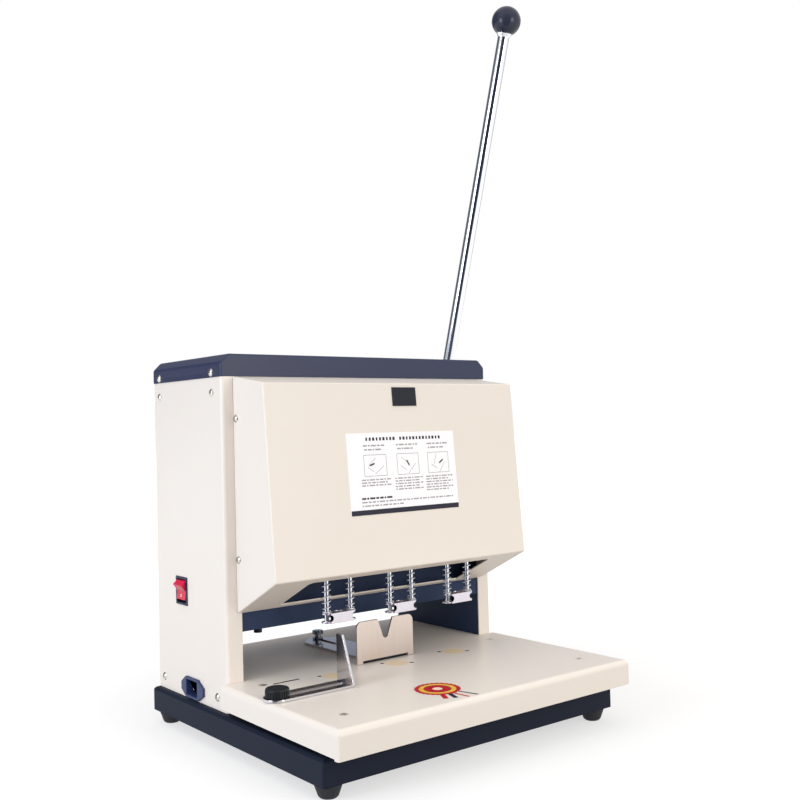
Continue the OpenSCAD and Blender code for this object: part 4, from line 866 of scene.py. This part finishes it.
choose(thumb, "EDGE", lambda edge: all(v.co.z > thumb_high.z - NEAR for v in edge.verts))
round_over(HEAD_ROUND, 3)
print("knurls:", choose(thumb, "FACE", lambda face: is_flute(face, thumb_spot, KNURLS)
                        and face.calc_center_median().z > head_z))
bpy.ops.mesh.inset(thickness=KNURL_RIM, depth=-KNURL_DEPTH, use_individual=True)
add_cylinder(SCREW_SIDES, SCREW_R, thumb_spot, thumb_low.z, thumb_z + DISC_H / 2)
bpy.ops.object.mode_set(mode="OBJECT")
break_edges(thumb, 0.12)
settle(thumb, "chrome", "back_clamp", "back_gauge_screw", finish=dark_nickel)

# %% [markdown]
# ## Nameplate and label
# The hood's front carries a small dark plate and a white film with printed help for the user. The print
# is drawn as plain bars the length of words, as a designer does before the words exist, with three framed
# fields. The bars are laid out flat, as on paper, in millimetres from the film's lower left corner; then
# the whole sheet is turned onto the slope.

# %% Flat work
def lay_on(piece, corner, across, up):
    """Turns a flat piece from the XY plane onto a surface, given its corner and two directions."""
    outward = across.cross(up)
    piece.matrix_world = Matrix.Translation(corner) @ Matrix((across, up, outward)).transposed().to_4x4()


def start_flat(name, inks):
    """An empty mesh in edit mode, with its inks, to which flat shapes are added."""
    bpy.ops.object.select_all(action="DESELECT")
    bpy.ops.mesh.primitive_plane_add(size=1.0)
    piece = name_new(name)
    for ink_finish in inks:
        piece.data.materials.append(ink_finish)
    bpy.ops.object.mode_set(mode="EDIT")
    bpy.ops.mesh.select_all(action="SELECT")
    bpy.ops.mesh.delete(type="VERT")
    return piece


def add_bar(piece, middle, size, ink_number, turn=0.0):
    """Adds a flat bar in millimetres, turned by degrees, in one of the piece's inks."""
    centre = (middle[0] * MM, middle[1] * MM, 0.0)
    bpy.ops.mesh.primitive_plane_add(size=1.0, location=centre)
    bpy.ops.transform.resize(value=(size[0] * MM, size[1] * MM, 1.0), center_override=centre)
    if turn:
        bpy.ops.transform.rotate(value=-math.radians(turn), orient_axis="Z", center_override=centre)
    piece.active_material_index = ink_number
    bpy.ops.object.material_slot_assign()


def thicken(piece, thickness):
    """Gives all flat shapes a thickness in millimetres and leaves edit mode."""
    bpy.ops.mesh.select_all(action="SELECT")
    pull_up(thickness * MM)
    bpy.ops.mesh.select_all(action="SELECT")
    bpy.ops.mesh.normals_make_consistent(inside=False)
    bpy.ops.object.mode_set(mode="OBJECT")


# %% Nameplate and film
rounded("hood_nameplate", "black_plastic", 0.3)
rounded("hood_label", "label_film", 0.06)
film = nodes["hood_label"].data
label_low, label_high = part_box("hood_label")
FILM_W, FILM_H = 144.0, 84.0
FILM_T = 0.4 * MM
slope = math.atan2(label_high.y - label_low.y - FILM_T, label_high.z - label_low.z)
up_slope = Vector((0.0, math.sin(slope), math.cos(slope)))
outward = Vector((0.0, -math.cos(slope), math.sin(slope)))
film_corner = min((v.co for v in film.vertices),
                  key=lambda co: (co - label_low).dot(up_slope - outward) + co.x)
print("film slopes by", round(math.degrees(slope), 2), "degrees from", [round(x, 4) for x in film_corner])

# %% Printed bars
WORDS_MM = (5.2, 2.4, 6.6, 3.6, 4.6, 2.0, 7.2, 3.0)
WORD_GAP = 1.3
SHORTEST_WORD = 1.0
print_piece = start_flat("label_print", [grey_ink, dark_ink])
GREY, DARK = 0, 1


def from_top(share):
    """Height above the film's lower edge of a place given as a share from its top."""
    return FILM_H * (1.0 - share)


def text_line(left, right, down, tall, ink_number, first_word=0):
    """A row of word-long bars between two shares of the film's width."""
    x, end, word = left * FILM_W, right * FILM_W, first_word
    while x < end - SHORTEST_WORD:
        wide = min(WORDS_MM[word % len(WORDS_MM)], end - x)
        add_bar(print_piece, (x + wide / 2, from_top(down)), (wide, tall), ink_number)
        x += wide + WORD_GAP
        word += 1


# places below are shares of the film's width and height, and bar heights are millimetres
TITLE_LETTERS = 23
TITLE_GAP = 9
TITLE_LEFT, TITLE_WIDE, TITLE_DOWN, TITLE_TALL = 0.16, 0.71, 0.075, 3.3
for letter in range(TITLE_LETTERS):
    if letter != TITLE_GAP:
        x = (TITLE_LEFT + TITLE_WIDE * (letter + 0.5) / TITLE_LETTERS) * FILM_W
        add_bar(print_piece, (x, from_top(TITLE_DOWN)), (2.1 + 0.4 * (letter % 3), TITLE_TALL), DARK)
FIRST_ROW, ROW_STEP = 0.575, 0.034
COLUMNS = [(0.13, 0.35, 3), (0.43, 0.65, 5), (0.72, 0.94, 6)]
for number, (left, right, rows) in enumerate(COLUMNS):
    text_line(left + 0.01, right - 0.01, 0.155, 1.5, GREY, number)
    text_line(left + 0.02, right - 0.05, 0.205, 1.5, GREY, number + 3)
    for row in range(rows):
        text_line(left - 0.02, right + 0.02 - 0.03 * (row % 2), FIRST_ROW + ROW_STEP * row, 1.3, GREY,
                  number + 2 * row)
text_line(0.10, 0.37, 0.80, 1.9, DARK)
text_line(0.10, 0.95, 0.845, 1.4, GREY, 2)
text_line(0.10, 0.47, 0.89, 1.4, GREY, 5)
add_bar(print_piece, (FILM_W / 2, FILM_H * 0.032), (FILM_W - 0.4, FILM_H * 0.062), DARK)
print("bars:", len(bmesh.from_edit_mesh(print_piece.data).faces))

# %% Framed fields
FIELD_W, FIELD_H = 0.2 * FILM_W, 0.26 * FILM_H
FRAME_LINE, THIN_LINE = 0.55, 0.5
PRINT_T, PRINT_LIFT = 0.05, 0.005 * MM
field_y = from_top(0.4)
for number, (left, right, rows) in enumerate(COLUMNS):
    field_x = (left + right) / 2 * FILM_W
    for end in (-0.5, 0.5):
        add_bar(print_piece, (field_x, field_y + end * FIELD_H), (FIELD_W, FRAME_LINE), GREY)
        add_bar(print_piece, (field_x + end * FIELD_W, field_y), (FRAME_LINE, FIELD_H), GREY)
    add_bar(print_piece, (field_x - 4, field_y + 4), (12, THIN_LINE), GREY, 40 - 75 * number)
    add_bar(print_piece, (field_x + 5, field_y - 5), (14, THIN_LINE), GREY, 35 + 10 * number)
    add_bar(print_piece, (field_x - 6, field_y - 4), (9, THIN_LINE), GREY, -30)
    add_bar(print_piece, (field_x + 4 * (number - 1), field_y + 1), (6.5, 1.7), DARK, (20, -60, 35)[number])
thicken(print_piece, PRINT_T)
lay_on(print_piece, film_corner + PRINT_LIFT * outward, Vector((1.0, 0.0, 0.0)), up_slope)
settle(print_piece, "label_film", "frame")

# %% [markdown]
# ## Paper seal
# A round seal with a wavy edge and four ribbon ends is stuck on the table. It starts as a filled circle.
# Each inset leaves a ring behind, which takes its ink, and pushing out every other corner of the rim
# gives the wavy edge.

# %% Paper seal
SEAL_AT = Vector((-38.0, -103.0, 0.0)) * MM
SEAL_R = 21.5 * MM
RIM_CORNERS = 56
RIM_GROWTH = 1.07
PAPER_T = 0.08
DISC_Z, ABOVE_TAILS = 0.1 * MM, 0.09 * MM
SEAL_LIFT = 0.02 * MM
seal = start_flat("paper_seal", [red_ink, gold_ink, painted_highlight_ink, dark_ink])
RED, GOLD, PAINTED_HIGHLIGHT, BLACK = range(4)
TAILS = [((-46.5, -119.0), (-54.5, -135.0), 5.0, RED), ((-40.0, -121.0), (-45.5, -139.0), 4.6, BLACK),
         ((-37.0, -121.0), (-34.0, -144.0), 2.6, RED), ((-30.0, -119.0), (-22.7, -144.0), 2.6, BLACK)]
for start, end, wide, ink_number in TAILS:
    along = Vector(end) - Vector(start)
    add_bar(seal, (Vector(start) + Vector(end)) / 2, (along.length, wide), ink_number,
            math.degrees(math.atan2(along.y, along.x)))
thicken(seal, PAPER_T)
bpy.ops.object.mode_set(mode="EDIT")
bpy.ops.mesh.select_all(action="DESELECT")
bpy.ops.mesh.select_mode(type="FACE")
bpy.ops.mesh.primitive_circle_add(vertices=RIM_CORNERS, radius=SEAL_R, fill_type="NGON",
                                  location=(SEAL_AT.x, SEAL_AT.y, DISC_Z))
# for each ring: the width in millimetres of the one before it, and its ink; the pale centre is a painted
# highlight
RINGS = [(0.0, RED), (3.4, GOLD), (4.6, BLACK), (0.6, RED), (8.0, PAINTED_HIGHLIGHT)]
for width, ink_number in RINGS:
    if width:
        bpy.ops.mesh.inset(thickness=width * MM)
    seal.active_material_index = ink_number
    bpy.ops.object.material_slot_assign()


def on_rim(corner):
    """True for every other corner of the seal's rim."""
    arm = corner.co - Vector((SEAL_AT.x, SEAL_AT.y, corner.co.z))
    step = round(math.atan2(arm.y, arm.x) / (2 * math.pi) * RIM_CORNERS)
    return abs(arm.length - SEAL_R) < 0.05 * MM and corner.co.z > ABOVE_TAILS and step % 2 == 0


print("scallops:", choose(seal, "VERT", on_rim))
widen(RIM_GROWTH, SEAL_AT.xy)
choose(seal, "FACE", lambda face: face.calc_center_median().z > ABOVE_TAILS)
pull_up(PAPER_T * MM)
bpy.ops.mesh.select_all(action="SELECT")
bpy.ops.mesh.normals_make_consistent(inside=False)
bpy.ops.object.mode_set(mode="OBJECT")
seal.location.z = table_z + SEAL_LIFT
settle(seal, "label_film", "frame")

# %% [markdown]
# ## Switch marks
# The rocker carries the two common marks, a bar for on and a ring for off, in white on its two halves.
# The ring is a torus pressed flat. Both lie on the rocker's slanted faces and tilt with it.

# %% Switch marks
tilt = math.radians(15)
BAR_SIZE = (0.9, 3.0)
RING_R, RING_WIRE, RING_FLAT = 1.3 * MM, 0.35 * MM, 0.1
MARK_T, MARK_LIFT = 0.06, 0.02 * MM
ROCKER_PIVOT = Vector((-178.0, 150.6, 151.0)) * MM
VALLEY, TIP = Vector((-2.0, 0.0, 0.0)), Vector((-5.2, 0.0, 8.3))
lean_turn = Matrix.Rotation(-tilt, 3, "Y")
for name, half in (("mark_on", 1.0), ("mark_off", -1.0)):
    valley = lean_turn @ VALLEY
    tip = lean_turn @ Vector((TIP.x, 0.0, half * TIP.z))
    mark = start_flat("switch_" + name, [mark_ink])
    if half > 0:
        add_bar(mark, (0.0, 0.0), BAR_SIZE, 0)
        thicken(mark, MARK_T)
    else:
        bpy.ops.mesh.primitive_torus_add(major_radius=RING_R, minor_radius=RING_WIRE, major_segments=40,
                                         minor_segments=8)
        bpy.ops.transform.resize(value=(1.0, 1.0, RING_FLAT), center_override=(0, 0, 0))
        bpy.ops.object.mode_set(mode="OBJECT")
    across = Vector((0.0, -1.0, 0.0))
    along = (tip - valley).normalized() * half
    lay_on(mark, ROCKER_PIVOT + (valley + tip) / 2 * MM + across.cross(along) * MARK_LIFT, across, along)
    settle(mark, "red_plastic", "rocker", finish=mark_ink)
print("switch marks: on and off")

# %% [markdown]
# ## What stays as it is
# Parts deep inside the upright already have the right shape. They only take a finish.

# %% Finishes of the remaining nodes
INSIDE = {
    "steel": ["table_posts", "cover_standoffs", "return_spring", "lever_shaft", "racks", "motor_pulley"],
    "chrome": ["guide_columns"],
    "inner_navy": ["top_bridge", "carriage_back", "motor"],
    "brass": ["shaft_bushes", "guide_bushes"],
    "cast": ["sector_gears"],
    "belt_rubber": ["drive_belts"],
}
for slot, names in INSIDE.items():
    for node_name in names:
        nodes[node_name].data.materials.clear()
        nodes[node_name].data.materials.append(FINISH[slot])
print("inside:", sum(len(names) for names in INSIDE.values()))
